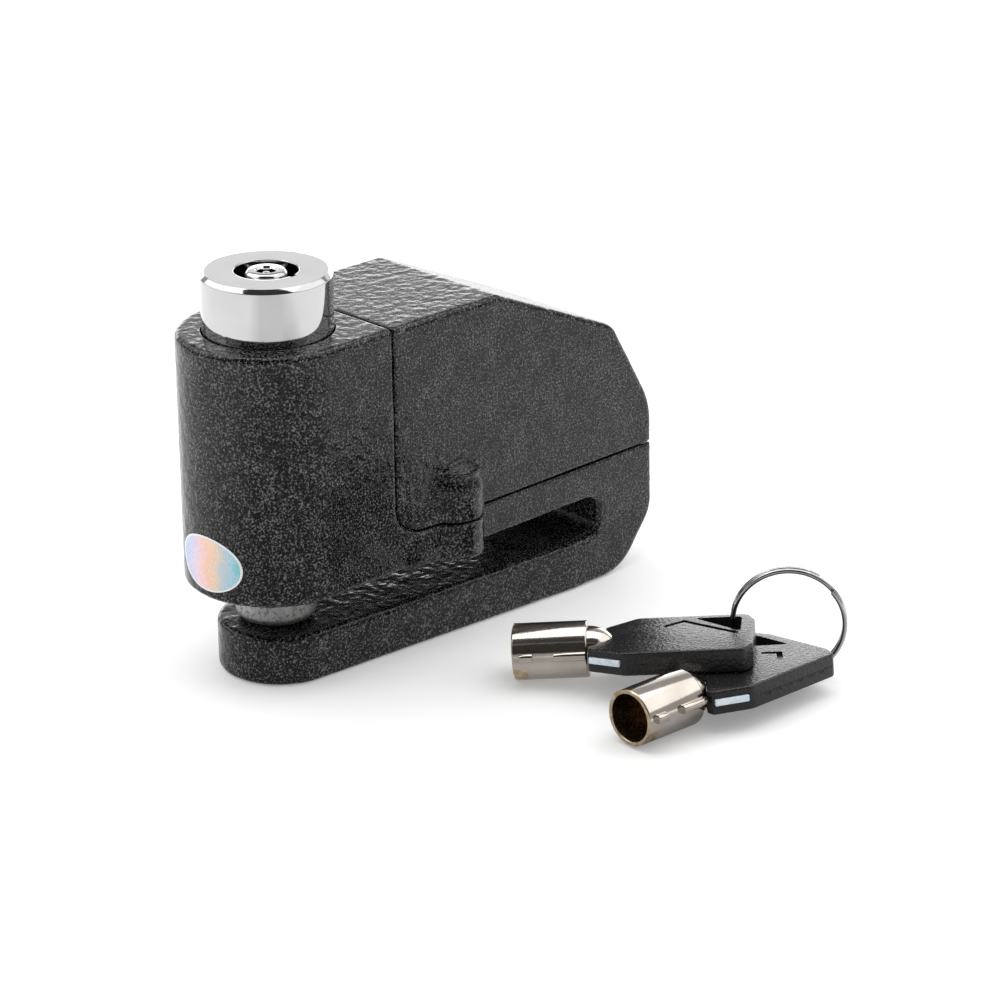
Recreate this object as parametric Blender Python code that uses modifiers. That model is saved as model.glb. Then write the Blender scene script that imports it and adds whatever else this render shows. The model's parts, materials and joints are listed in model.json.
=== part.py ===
"""Disc brake lock with a built-in alarm, two tubular keys and their split ring.

Frame: origin on the locking pin's axis at the underside of the lower arm, +X towards the rounded rear,
+Z up along the pin and the lock cylinder. Metres throughout; MM turns millimetres into metres.
"""

import math

import bmesh
import bpy
from mathutils import Euler, Matrix, Vector

MM = 0.001
GAP = 0.3 * MM              # between neighbouring pieces
SLIM_GAP = 0.15 * MM        # between a small inlay and its recess

# Die-cast body
BARREL_R = 15.5 * MM        # front barrel, and half the body's width
BODY_TOP = 61.0 * MM
BODY_REAR = 78.6 * MM
RIM_ROUND = 1.1 * MM
JAW_LOW = 9.0 * MM          # top of the lower arm
JAW_HIGH = 16.8 * MM        # underside of the upper jaw
SLOT_END = 63.9 * MM
SLOT_ROUND = 2.8 * MM
ARM_TIP_R = 11.0 * MM
ARM_TIP_X = 1.0 * MM
ARM_ROOT_X = 58.0 * MM

# Alarm cover
SEAM_X = 13.6 * MM
SEAM_Z = 23.6 * MM
SEAM_ROUND = 5.0 * MM
COVER_WALL = 2.2 * MM
BOSS_X = 28.4 * MM
BOSS_Y = 14.2 * MM
BOSS_R = 5.5 * MM
BOSS_SHOULDER = 28.4 * MM
SCREW_Y = 15.4 * MM

# Lock cylinder and locking pin
STROKE = 12.0 * MM
HEAD_R = 11.0 * MM
HEAD_TOP = 71.0 * MM
SLEEVE_LOW = 40.0 * MM
BORE_R = HEAD_R + GAP
SEAT_Z = 24.0 * MM          # floor of the bore, where the spring stands
KEYWAY_OUTER_R = 5.35 * MM
KEYWAY_FLOOR = 62.7 * MM
NOTCH_LOW = 66.6 * MM       # depth of the key notch
CHAMBER_R = 7.6 * MM
CHAMBER_LOW = 41.8 * MM
CENTRE_POST_R = 3.5 * MM
SHANK_R = 7.0 * MM
SHANK_LOW = 9.3 * MM
NOSE_R = 4.0 * MM
NOSE_LOW = 4.8 * MM
PIN_HEAD_R = 10.3 * MM
PIN_HEAD_LOW = 35.5 * MM

# Tumblers and latch
TUMBLERS = 7
TUMBLER_RING_R = 4.4 * MM
TUMBLER_R = 0.6 * MM
TUMBLER_HOLE_R = 0.85 * MM
LATCH_LOW = 42.4 * MM
LATCH_HIGH = 46.0 * MM
LATCH_HALF = 2.0 * MM
LATCH_THROW = 1.7 * MM
DOWEL_R = 1.5 * MM
DOWEL_Z = 55.0 * MM
PLUNGER_Y = -5.5 * MM
PLUNGER_Z = 53.5 * MM
PLUNGER_R = 1.2 * MM

# Alarm module
TRAY_LOW = 24.0 * MM
BOARD_LOW = 46.0 * MM
BOARD_THICK = 1.6 * MM
BOARD_FRONT = 17.0 * MM
BOARD_REAR = 61.8 * MM
BOARD_HALF = 11.5 * MM
CELL_R = 5.8 * MM
CELL_LENGTH = 5.4 * MM
CELL_Y = 6.2 * MM
CELL_Z = 32.4 * MM
CELL_FRONT = 37.6 * MM
POST_R = 2.2 * MM
POSTS = [(22.6 * MM, 4.4 * MM), (59.3 * MM, -9.0 * MM), (59.3 * MM, 9.0 * MM)]

# Keys: lengths run from the tube's mouth, widths from the key's axis
KEY_TUBE_R = 4.85 * MM
KEY_BORE_R = 4.05 * MM
KEY_TUBE = 12.8 * MM
KEY_LENGTH = 40.8 * MM
KEY_HALF = 9.4 * MM
KEY_NOSE = 13.1 * MM         # where the head starts, just behind the tube
KEY_NOSE_HALF = 6.3 * MM
KEY_FLARE = 19.4 * MM       # where the near side reaches the full width
KEY_THICK = 4.1 * MM
KEY_HOLE = (35.6 * MM, 4.6 * MM)
STEM_R = 3.9 * MM
STEM_END = 17.5 * MM
STRIP_MIDDLE = 16.05 * MM
STRIP_RISE = 0.15 * MM
STRIP_HALVES = (2.95 * MM, 0.4 * MM, 0.55 * MM)
RIB_HALF = 0.75 * MM
RIB_LIFT = 0.45 * MM         # of the ribs' middle above the key's axis
RIB_RISE = 0.95 * MM        # how far the tube's ribs stand out
KEYS = {
    "key_1": {"mouth": (24.3 * MM, -33.4 * MM, 4.86 * MM), "yaw": -50.5, "pitch": 5.3, "roll": -6.5},
    "key_2": {"mouth": (19.2 * MM, -64.8 * MM, 5.22 * MM), "yaw": -2.3, "pitch": -1.7, "roll": -7.6},
}
RING_R = 9.5 * MM           # to the middle of the wire
RING_WIRE_R = 0.45 * MM
RING_PITCH = 1.0 * MM
RING_CENTRE = (58.0 * MM, -65.55 * MM, 10.0 * MM)
RING_YAW = -50.2            # direction of the ring's width


# ---------------------------------------------------------------- scene and materials

def clear_scene():
    for obj in list(bpy.data.objects):
        bpy.data.objects.remove(obj, do_unlink=True)


def new_collection(name):
    collection = bpy.data.collections.new(name)
    bpy.context.scene.collection.children.link(collection)
    return collection


def material(name, colour, roughness, metallic):
    made = bpy.data.materials.new(name)
    made.use_nodes = True
    shader = made.node_tree.nodes["Principled BSDF"]
    shader.inputs["Base Color"].default_value = (*colour, 1.0)
    shader.inputs["Roughness"].default_value = roughness
    shader.inputs["Metallic"].default_value = metallic
    return made


LOOKS = {
    "black_paint": ((0.028, 0.028, 0.030), 0.45, 0.0),
    "chrome": ((0.78, 0.78, 0.79), 0.16, 1.0),
    "cast_metal": ((0.62, 0.62, 0.60), 0.42, 1.0),
    "brass": ((0.66, 0.50, 0.24), 0.30, 1.0),
    "spring_steel": ((0.50, 0.50, 0.52), 0.30, 1.0),
    "zinc_screw": ((0.55, 0.56, 0.58), 0.35, 1.0),
    "rubber": ((0.02, 0.02, 0.02), 0.80, 0.0),
    "tray_plastic": ((0.05, 0.05, 0.055), 0.55, 0.0),
    "board_green": ((0.02, 0.16, 0.06), 0.45, 0.0),
    "component_black": ((0.03, 0.03, 0.03), 0.40, 0.0),
    "cell_steel": ((0.68, 0.68, 0.69), 0.25, 1.0),
    "sensor_metal": ((0.60, 0.58, 0.54), 0.30, 1.0),
    "plunger_white": ((0.75, 0.74, 0.70), 0.40, 0.0),
    "foil": ((0.72, 0.72, 0.78), 0.25, 0.6),
    "key_nickel": ((0.70, 0.66, 0.61), 0.22, 1.0),
    "key_plastic": ((0.025, 0.025, 0.027), 0.40, 0.0),
    "key_inlay": ((0.74, 0.82, 0.88), 0.45, 0.0),
    "ring_steel": ((0.62, 0.62, 0.63), 0.18, 1.0),
}


# ---------------------------------------------------------------- outlines

def round_outline(corners, steps=5):
    """Points of a closed outline whose corners (u, v, radius) are rounded where the radius isn't 0."""
    points = []
    count = len(corners)
    for i, (u, v, radius) in enumerate(corners):
        corner = Vector((u, v))
        if radius <= 0:
            points.append(tuple(corner))
            continue
        before = (Vector(corners[i - 1][:2]) - corner).normalized()
        after = (Vector(corners[(i + 1) % count][:2]) - corner).normalized()
        half = before.angle(after) / 2
        reach = radius / math.tan(half)
        centre = corner + (before + after).normalized() * radius / math.sin(half)
        start = corner + before * reach - centre
        turn = start.angle_signed(corner + after * reach - centre)
        for k in range(steps + 1):
            spoke = start.copy()
            spoke.rotate(Matrix.Rotation(-turn * k / steps, 2))
            points.append(tuple(centre + spoke))
    return points


def arc(centre, radius, start, end, steps):
    """Points on an arc, angles in degrees."""
    angles = [math.radians(start + (end - start) * k / steps) for k in range(steps + 1)]
    return [(centre[0] + radius * math.cos(a), centre[1] + radius * math.sin(a)) for a in angles]


# ---------------------------------------------------------------- solids

def add(name, mesh, look=None, parent=None):
    """Links a mesh as a part in its look, or as a hidden cutter when it has none."""
    obj = bpy.data.objects.new(name, mesh)
    if look:
        PARTS.objects.link(obj)
        mesh.materials.append(MATERIALS[look])
        mesh.shade_smooth()
        mesh.set_sharp_from_angle(angle=math.radians(35))
    else:
        CUTTERS.objects.link(obj)
        obj.hide_render = True
        obj.display_type = "WIRE"
    obj.parent = parent
    return obj


def mesh_from(name, build):
    """A new mesh from what build(bm) makes."""
    mesh = bpy.data.meshes.new(name)
    bm = bmesh.new()
    build(bm)
    bm.to_mesh(mesh)
    bm.free()
    return mesh


def box(name, low, high, look=None, parent=None, tilt=None):
    """A box between two corners; tilt turns it about its own centre, and its origin is there."""
    low, high = Vector(low), Vector(high)

    def build(bm):
        bmesh.ops.create_cube(bm, size=1.0, matrix=Matrix.Diagonal((*(high - low), 1.0)))

    obj = add(name, mesh_from(name, build), look, parent)
    obj.location = (low + high) / 2
    if tilt:
        obj.rotation_euler = tilt
    return obj


def rod(name, radius, start, end, sides=24, look=None, parent=None):
    """A cylinder from start to end."""
    start, end = Vector(start), Vector(end)
    depth = (end - start).length

    def build(bm):
        bmesh.ops.create_cone(bm, cap_ends=True, segments=sides, radius1=radius, radius2=radius,
                              depth=depth)

    obj = add(name, mesh_from(name, build), look, parent)
    obj.location = (start + end) / 2
    obj.rotation_euler = (end - start).to_track_quat("Z", "Y").to_euler()
    return obj


def ellipsoid(name, centre, radii):
    def build(bm):
        bmesh.ops.create_uvsphere(bm, u_segments=24, v_segments=14, radius=1.0,
                                  matrix=Matrix.Diagonal((*radii, 1.0)))

    obj = add(name, mesh_from(name, build))
    obj.location = centre
    return obj


def flat_solid(name, outline, low, high, look=None, parent=None, upright=False):
    """An outline made solid: in the XY plane between two heights, or upright in XZ between two Y values."""
    curve = bpy.data.curves.new(name, "CURVE")
    curve.dimensions = "2D"
    curve.fill_mode = "BOTH"
    curve.extrude = (high - low) / 2
    spline = curve.splines.new("POLY")
    spline.points.add(len(outline) - 1)
    for point, (u, v) in zip(spline.points, outline):
        point.co = (u, v, 0, 1)
    spline.use_cyclic_u = True
    middle = (low + high) / 2
    place = Matrix.Translation((0, 0, middle))
    if upright:
        place = Matrix.Translation((0, middle, 0)) @ Matrix.Rotation(math.pi / 2, 4, "X")
    mesh = curve_to_mesh(curve, name, place)
    return add(name, mesh, look, parent)


def curve_to_mesh(curve, name, place=None):
    """The curve's mesh with its caps welded and its faces pointing out."""
    holder = bpy.data.objects.new(name + "_outline", curve)
    bpy.context.scene.collection.objects.link(holder)
    depsgraph = bpy.context.evaluated_depsgraph_get()
    mesh = bpy.data.meshes.new_from_object(holder.evaluated_get(depsgraph))
    bpy.data.objects.remove(holder, do_unlink=True)
    bm = bmesh.new()
    bm.from_mesh(mesh)
    bmesh.ops.remove_doubles(bm, verts=bm.verts, dist=0.001 * MM)
    if curve.dimensions == "2D":
        bmesh.ops.dissolve_limit(bm, angle_limit=math.radians(0.5), verts=bm.verts, edges=bm.edges)
    if place:
        bmesh.ops.transform(bm, matrix=place, verts=bm.verts)
    bmesh.ops.recalc_face_normals(bm, faces=bm.faces)
    bm.to_mesh(mesh)
    bm.free()
    mesh.name = name
    mesh.materials.clear()
    return mesh


def turned(name, profile, look=None, parent=None, steps=48, place=(0, 0, 0), closed=False):
    """A profile of (radius, height), outer side top to bottom, turned about Z.

    A solid profile starts and ends on the axis; a closed one joins its last point to its first.
    """
    mesh = bpy.data.meshes.new(name)
    edges = [(i, i + 1) for i in range(len(profile) - 1)]
    if closed:
        edges.append((len(profile) - 1, 0))
    mesh.from_pydata([(r, 0, z) for r, z in profile], edges, [])
    obj = add(name, mesh, look, parent)
    obj.location = place
    screw = obj.modifiers.new("Turn", "SCREW")
    screw.axis = "Z"
    screw.angle = 2 * math.pi
    screw.steps = steps
    screw.render_steps = steps
    screw.use_merge_vertices = True
    screw.merge_threshold = 0.005 * MM
    return obj


def bevel_rims(obj, width, segments, chosen):
    """Rounds the edges for which chosen(start, end) is true."""
    weights = obj.data.attributes.new("bevel_weight_edge", "FLOAT", "EDGE")
    for edge in obj.data.edges:
        start, end = (obj.data.vertices[i].co for i in edge.vertices)
        weights.data[edge.index].value = 1.0 if chosen(start, end) else 0.0
    bevel = obj.modifiers.new("Rims", "BEVEL")
    bevel.limit_method = "WEIGHT"
    bevel.width = width
    bevel.segments = segments


def bevel_all(obj, width, segments=2, angle=40):
    bevel = obj.modifiers.new("Edges", "BEVEL")
    bevel.limit_method = "ANGLE"
    bevel.angle_limit = math.radians(angle)
    bevel.width = width
    bevel.segments = segments


def combine(obj, operation, *others):
    """Cuts, joins or intersects obj with other meshes, in order, with the exact solver."""
    for other in others:
        step = obj.modifiers.new(other.name, "BOOLEAN")
        step.operation = operation
        step.solver = "EXACT"
        step.object = other
    return obj


def cut(obj, *others):
    return combine(obj, "DIFFERENCE", *others)


def join(obj, *others):
    return combine(obj, "UNION", *others)


def keep_common(obj, other):
    return combine(obj, "INTERSECT", other)


# ---------------------------------------------------------------- body and cover

def rear_corners():
    """The rounded rear and the sloping top of the body in XZ, from the underside up to the front top."""
    return [
        (70.6 * MM, 0, 9 * MM),
        (BODY_REAR, 10.2 * MM, 7 * MM),
        (77.7 * MM, 31.5 * MM, 14 * MM),
        (67.4 * MM, 48.6 * MM, 6 * MM),
        (38.8 * MM, BODY_TOP, 3 * MM),
    ]


def rounded_block(name, lower, look=None):
    """The body's rear block: its side outline with rounded rims."""
    outline = round_outline(lower + rear_corners() + [(0, BODY_TOP, 0)])
    block = flat_solid(name, outline, -BARREL_R, BARREL_R, look, upright=True)
    limit = 0.01 * MM

    def on_rim(start, end):
        on_front = abs(start.x) < limit and abs(end.x) < limit
        across = abs(start.y - end.y) > limit
        return not on_front and not across

    bevel_rims(block, RIM_ROUND, 3, on_rim)
    return block


def side_swellings(tag):
    """Per side: the half-round screw boss with its dome, and the soft fairing in front of it."""
    shapes = []
    dome = [(BOSS_R * math.sin(math.radians(a)), BOSS_SHOULDER + BOSS_R * math.cos(math.radians(a)))
            for a in range(0, 91, 15)]
    profile = [(0, dome[0][1])] + dome[1:] + [(BOSS_R, 12 * MM), (0, 12 * MM)]
    for side in (-1, 1):
        shapes.append(turned(f"{tag}_boss_{side}", profile, steps=28, place=(BOSS_X, side * BOSS_Y, 0)))
        shapes.append(ellipsoid(f"{tag}_fairing_{side}", (25 * MM, side * 12.9 * MM, 21 * MM),
                                (13 * MM, 4.0 * MM, 9.4 * MM)))
    return shapes


def cover_outline(offset):
    """The region above the deck and behind the barrel in XZ, its boundary moved out by offset."""
    front_top = SEAM_X - offset
    front_low = SEAM_X + 0.7 * MM - offset
    low = SEAM_Z - offset
    return round_outline([
        (front_top, 75 * MM, 0),
        (front_low, low, SEAM_ROUND + offset),
        (95 * MM, low, 0),
        (95 * MM, 75 * MM, 0),
    ], steps=8)


def make_body():
    lower = [
        (0, JAW_HIGH, 0),
        (SLOT_END, JAW_HIGH, SLOT_ROUND),
        (SLOT_END, JAW_LOW, SLOT_ROUND),
        (ARM_ROOT_X, JAW_LOW, 0),
        (ARM_ROOT_X, 0, 0),
    ]
    body = rounded_block("body_casting", lower, "black_paint")
    rim = [(BARREL_R - RIM_ROUND * (1 - math.sin(a)), BODY_TOP - RIM_ROUND * (1 - math.cos(a)))
           for a in (math.radians(30 * k) for k in range(4))]
    barrel = turned("barrel", [(0, BODY_TOP)] + rim + [
        (BARREL_R, JAW_HIGH + 0.6 * MM), (BARREL_R - 0.6 * MM, JAW_HIGH), (0, JAW_HIGH)], steps=64)
    join(body, barrel, make_arm(), *side_swellings("casting"))
    far = 25 * MM
    slot = box("jaw_slot", (-20 * MM, -far, JAW_LOW), (60 * MM, far, JAW_HIGH))
    deck_cut = flat_solid("deck_cut", cover_outline(GAP / 2), -far, far, upright=True)
    cut(body, slot, deck_cut, bore_cutter(), *barrel_cutters(), *boss_cutters("casting", 10 * MM, 20 * MM))
    socket = rod("arm_socket", NOSE_R + GAP, (0, 0, 4.5 * MM), (0, 0, 12 * MM), sides=48)
    cut(body, socket)
    return body


def make_arm():
    """The lower arm, tapering from the rear root to a round tip under the pin."""
    slope = math.degrees(math.asin((BARREL_R - ARM_TIP_R) / (ARM_ROOT_X - ARM_TIP_X)))
    tip = arc((ARM_TIP_X, 0), ARM_TIP_R, 90 + slope, 270 - slope, 28)
    outline = [(62 * MM, BARREL_R - RIM_ROUND), (ARM_ROOT_X, BARREL_R)] + tip + [
        (ARM_ROOT_X, -BARREL_R), (62 * MM, -BARREL_R + RIM_ROUND)]
    arm = flat_solid("arm", outline, 0, JAW_LOW)
    limit = 0.01 * MM

    def on_rim(start, end):
        level = abs(start.z - end.z) < limit
        return level and max(start.x, end.x) < ARM_ROOT_X + limit

    bevel_rims(arm, 0.9 * MM, 2, on_rim)
    return arm


def bore_cutter():
    """The stepped bore: the sleeve's bore, the seal groove near its mouth, and the pin's guide below."""
    top = BODY_TOP + 4 * MM
    groove_r = 12.7 * MM
    guide_r = SHANK_R + GAP
    return turned("bore", [
        (0, top), (BORE_R, top),
        (BORE_R, 60.3 * MM), (groove_r, 60.3 * MM), (groove_r, 58.9 * MM), (BORE_R, 58.9 * MM),
        (BORE_R, SEAT_Z), (guide_r, SEAT_Z),
        (guide_r, 14 * MM), (0, 14 * MM)], steps=48)


def barrel_cutters():
    """Channel for the latch, and the cross holes for the dowel and the switch plunger."""
    wall = SEAM_X + 1 * MM
    channel = box("latch_channel", (-13.0 * MM, -LATCH_HALF - GAP, LATCH_LOW - GAP),
                  (-9 * MM, LATCH_HALF + GAP, LATCH_HIGH + STROKE + GAP))
    dowel = rod("dowel_hole", DOWEL_R + 0.05 * MM, (10 * MM, 0, DOWEL_Z), (wall, 0, DOWEL_Z))
    plunger = rod("plunger_hole", PLUNGER_R + GAP, (8 * MM, PLUNGER_Y, PLUNGER_Z),
                  (wall, PLUNGER_Y, PLUNGER_Z))
    return [channel, dowel, plunger]


def boss_cutters(tag, low, shoulder):
    """Per side: the screw's clearance hole and the counterbore for its head, open below."""
    cutters = []
    for side in (-1, 1):
        x, y = BOSS_X, side * SCREW_Y
        cutters.append(rod(f"{tag}_counterbore_{side}", 3.6 * MM, (x, y, low), (x, y, shoulder)))
        cutters.append(rod(f"{tag}_screw_hole_{side}", 2.2 * MM, (x, y, low), (x, y, 31.5 * MM)))
    return cutters


def make_cover():
    lower = [(0, 10 * MM, 0), (60 * MM, 10 * MM, 0), (60 * MM, 0, 0)]
    cover = rounded_block("alarm_cover", lower, "black_paint")
    join(cover, *side_swellings("cover"))
    far = 25 * MM
    keep_common(cover, flat_solid("cover_region", cover_outline(-GAP / 2), -far, far, upright=True))
    wall = COVER_WALL
    inside = round_outline([
        (10 * MM, BODY_TOP - wall, 0),
        (10 * MM, 20 * MM, 0),
        (76.0 * MM, 20 * MM, 0),
        (75.4 * MM, 30.6 * MM, 12 * MM),
        (65.8 * MM, 46.6 * MM, 5 * MM),
        (38.3 * MM, BODY_TOP - wall, 3 * MM),
    ])
    hollow_half = BARREL_R - wall
    cut(cover, flat_solid("cover_hollow", inside, -hollow_half, hollow_half, upright=True))
    pillars = [rod(f"pillar_{side}", 4.6 * MM, (BOSS_X, side * (SCREW_Y - 1 * MM), SEAM_Z + GAP / 2),
                   (BOSS_X, side * (SCREW_Y - 1 * MM), 32.2 * MM)) for side in (-1, 1)]
    join(cover, *pillars)
    holes = [rod(f"cover_screw_hole_{side}", 2.2 * MM, (BOSS_X, side * SCREW_Y, 20 * MM),
                 (BOSS_X, side * SCREW_Y, 30.5 * MM)) for side in (-1, 1)]
    cut(cover, *holes)
    return cover


def make_gasket():
    """A flat ring of rubber on the deck, just inside the cover's wall, necked in past the screw pillars."""
    def ring(half, front, rear, neck):
        mirrored = [(front, half), (BOSS_X - 6.6 * MM, half), (BOSS_X - 5.2 * MM, neck),
                    (BOSS_X + 5.2 * MM, neck), (BOSS_X + 6.6 * MM, half), (rear, half)]
        return mirrored + [(x, -y) for x, y in reversed(mirrored)]

    low = SEAM_Z + GAP / 2
    high = low + 0.9 * MM
    outline = ring(12.9 * MM, 18.6 * MM, 75.0 * MM, 9.2 * MM)
    gasket = flat_solid("cover_gasket", outline, low, high, "rubber")
    cut(gasket, flat_solid("gasket_opening", ring(11.7 * MM, 19.8 * MM, 73.8 * MM, 8.0 * MM),
                           low - 1 * MM, high + 1 * MM))


def make_screws():
    """Cover screws, fitted upwards from the jaw slot into the cover's pillars."""
    head_r = 3.3 * MM
    for side, word in ((-1, "left"), (1, "right")):
        profile = [
            (0, 30.0 * MM), (1.6 * MM, 30.0 * MM), (2.0 * MM, 29.3 * MM), (2.0 * MM, 19.7 * MM),
            (head_r, 19.7 * MM), (head_r, 17.6 * MM), (head_r - 0.4 * MM, 17.2 * MM), (0, 17.2 * MM)]
        screw = turned(f"cover_screw_{word}", profile, "zinc_screw", steps=24,
                       place=(BOSS_X, side * SCREW_Y, 0))
        socket = rod(f"screw_socket_{word}", 1.5 * MM, (BOSS_X, side * SCREW_Y, 16 * MM),
                     (BOSS_X, side * SCREW_Y, 18.6 * MM), sides=6)
        cut(screw, socket)


def make_sticker():
    """The oval foil label wrapped on the front of the barrel."""
    centre_z = 23.4 * MM
    half_angle = math.radians(27.0)
    half_height = 4.9 * MM
    facing = math.radians(182.6)
    inner = BARREL_R + 0.05 * MM
    mesh = mesh_from("hologram_sticker", lambda bm: curved_oval(
        bm, inner, facing, half_angle, centre_z, half_height))
    sticker = add("hologram_sticker", mesh, "foil")
    skin = sticker.modifiers.new("Thickness", "SOLIDIFY")
    skin.thickness = 0.12 * MM
    skin.offset = 1.0


def curved_oval(bm, radius, facing, half_angle, centre_z, half_height, rings=3, sides=28):
    """An oval disc bent round a vertical cylinder."""
    grid = [[bm.verts.new((radius * math.cos(facing), radius * math.sin(facing), centre_z))]]
    for ring in range(1, rings + 1):
        scale = ring / rings
        loop = []
        for k in range(sides):
            t = 2 * math.pi * k / sides
            angle = facing + half_angle * scale * math.cos(t)
            height = centre_z + half_height * scale * math.sin(t)
            loop.append(bm.verts.new((radius * math.cos(angle), radius * math.sin(angle), height)))
        grid.append(loop)
    for k in range(sides):
        bm.faces.new((grid[0][0], grid[1][k], grid[1][(k + 1) % sides]))
    for inner, outer in zip(grid[1:], grid[2:]):
        for k in range(sides):
            after = (k + 1) % sides
            bm.faces.new((inner[k], outer[k], outer[after], inner[after]))


# ---------------------------------------------------------------- cylinder, pin and spring

def make_sleeve():
    """The sliding lock cylinder: chrome head, keyway, tumbler chamber, grooves and latch window."""
    chamfer = 0.6 * MM
    opening = SHANK_R - 2.0 * MM
    sleeve = turned("lock_cylinder", [
        (KEYWAY_OUTER_R + 0.25 * MM, HEAD_TOP), (HEAD_R - chamfer, HEAD_TOP), (HEAD_R, HEAD_TOP - chamfer),
        (HEAD_R, SLEEVE_LOW + chamfer), (HEAD_R - chamfer, SLEEVE_LOW), (opening, SLEEVE_LOW),
        (opening, CHAMBER_LOW), (CHAMBER_R, CHAMBER_LOW), (CHAMBER_R, KEYWAY_FLOOR + GAP),
        (KEYWAY_OUTER_R, KEYWAY_FLOOR + GAP), (KEYWAY_OUTER_R, HEAD_TOP - 0.25 * MM),
    ], "chrome", steps=56, closed=True)
    groove_half = DOWEL_R + GAP
    dowel_groove = box("dowel_groove", (8.65 * MM, -groove_half, DOWEL_Z - STROKE - groove_half),
                       (12 * MM, groove_half, DOWEL_Z + groove_half))
    window = box("latch_window", (-12 * MM, -LATCH_HALF - GAP, LATCH_LOW - GAP),
                 (-6.5 * MM, LATCH_HALF + GAP, LATCH_HIGH + GAP))
    cut(sleeve, dowel_groove, window, switch_ramp(), index_notch())
    return sleeve


def switch_ramp():
    """The sloping flat that pushes the switch plunger back as the cylinder rises."""
    half = 2.0 * MM
    low_z = 39.0 * MM
    high_z = PLUNGER_Z + half
    slope = LATCH_THROW / STROKE

    def floor(z):
        return 9.6 * MM - slope * (z - (PLUNGER_Z - STROKE))

    outline = [(floor(low_z), low_z), (floor(high_z), high_z), (13 * MM, high_z), (13 * MM, low_z)]
    return flat_solid("switch_ramp", outline, PLUNGER_Y - half, PLUNGER_Y + half, upright=True)


def index_notch():
    """The notch in the keyway's outer wall that sets which way round the key goes in."""
    angle = math.radians(-80)
    turn = Matrix.Rotation(angle, 3, "Z")
    half = 0.65 * MM
    low = Vector((4.5 * MM, -half, NOTCH_LOW))
    high = Vector((5.95 * MM, half, HEAD_TOP + 1 * MM))
    shift = turn @ ((low + high) / 2) - (low + high) / 2
    return box("index_notch", low + shift, high + shift, tilt=(0, 0, angle))


def make_plug():
    """The turning plug: centre post, tumbler disc and tail."""
    disc_top = KEYWAY_FLOOR - 0.1 * MM
    disc_low = 57.0 * MM
    tail_r = 2.4 * MM
    plug = turned("lock_plug", [
        (0, HEAD_TOP), (CENTRE_POST_R - 0.45 * MM, HEAD_TOP), (CENTRE_POST_R, HEAD_TOP - 0.45 * MM),
        (CENTRE_POST_R, disc_top),
        (CHAMBER_R - GAP, disc_top), (CHAMBER_R - GAP, disc_low), (tail_r, disc_low),
        (tail_r, CHAMBER_LOW + 0.3 * MM), (0, CHAMBER_LOW + 0.3 * MM)], "chrome", steps=36)
    cut(plug, rod("post_hole", 1.6 * MM, (0, 0, 67 * MM), (0, 0, 72 * MM)))
    for index, (x, y) in enumerate(tumbler_places()):
        cut(plug, rod(f"plug_hole_{index}", TUMBLER_HOLE_R, (x, y, 55 * MM), (x, y, 64 * MM), sides=10))
    return plug


def tumbler_places():
    """The centres of the tumblers, evenly round their ring."""
    angles = [2 * math.pi * k / TUMBLERS for k in range(TUMBLERS)]
    return [(TUMBLER_RING_R * math.cos(a), TUMBLER_RING_R * math.sin(a)) for a in angles]


def make_tumblers():
    """Seven key pins in the plug, and the fixed tumbler block whose holes they are pushed into."""
    for index, (x, y) in enumerate(tumbler_places(), start=1):
        low = 57.4 * MM
        high = 63.9 * MM
        turned(f"key_pin_{index}", [
            (0, high), (0.35 * MM, high), (TUMBLER_R, high - 0.3 * MM), (TUMBLER_R, low + 0.3 * MM),
            (0.35 * MM, low), (0, low)], "brass", steps=12, place=(x, y, 0))
    block_top = 57.0 * MM - GAP
    block_low = 47.0 * MM
    block = turned("tumbler_block", [
        (2.7 * MM, block_top), (CHAMBER_R - GAP, block_top), (CHAMBER_R - GAP, block_low),
        (2.7 * MM, block_low)], "brass", steps=32, closed=True)
    for index, (x, y) in enumerate(tumbler_places()):
        cut(block, rod(f"block_hole_{index}", TUMBLER_HOLE_R, (x, y, 50 * MM), (x, y, 60 * MM), sides=10))


def make_latch():
    """The sprung dog in the sleeve's window and the plug's cam that moves it."""
    cam_r = 4.2 * MM
    cam = turned("latch_cam", [(2.7 * MM, LATCH_HIGH), (cam_r, LATCH_HIGH), (cam_r, LATCH_LOW),
                               (2.7 * MM, LATCH_LOW)], "zinc_screw", steps=32, closed=True)
    lobe = box("cam_lobe", (-6.3 * MM, -0.8 * MM, LATCH_LOW), (-3.2 * MM, 0.8 * MM, LATCH_HIGH))
    join(cam, lobe)
    dog = box("latch_dog", (-12.6 * MM, -LATCH_HALF, LATCH_LOW), (-6.9 * MM, LATCH_HALF, LATCH_HIGH),
              "zinc_screw")
    bevel_all(dog, 0.4 * MM)


def make_pin():
    """The locking pin: nose, shank across the slot, spring flange and the stem up into the cylinder."""
    edge = 1.6 * MM
    stem_r = SHANK_R - 2.0 * MM - GAP
    flange_top = SLEEVE_LOW - GAP
    turned("locking_pin", [
        (0, CHAMBER_LOW - 0.4 * MM), (stem_r - 0.4 * MM, CHAMBER_LOW - 0.4 * MM),
        (stem_r, CHAMBER_LOW - 0.8 * MM), (stem_r, flange_top), (PIN_HEAD_R, flange_top),
        (PIN_HEAD_R, PIN_HEAD_LOW), (SHANK_R, PIN_HEAD_LOW), (SHANK_R, SHANK_LOW + edge),
        (SHANK_R - 0.45 * MM, SHANK_LOW + 0.5 * MM), (SHANK_R - edge, SHANK_LOW), (NOSE_R, SHANK_LOW),
        (NOSE_R, NOSE_LOW + 0.8 * MM), (NOSE_R - 0.8 * MM, NOSE_LOW), (0, NOSE_LOW)],
        "cast_metal", steps=40)


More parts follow.
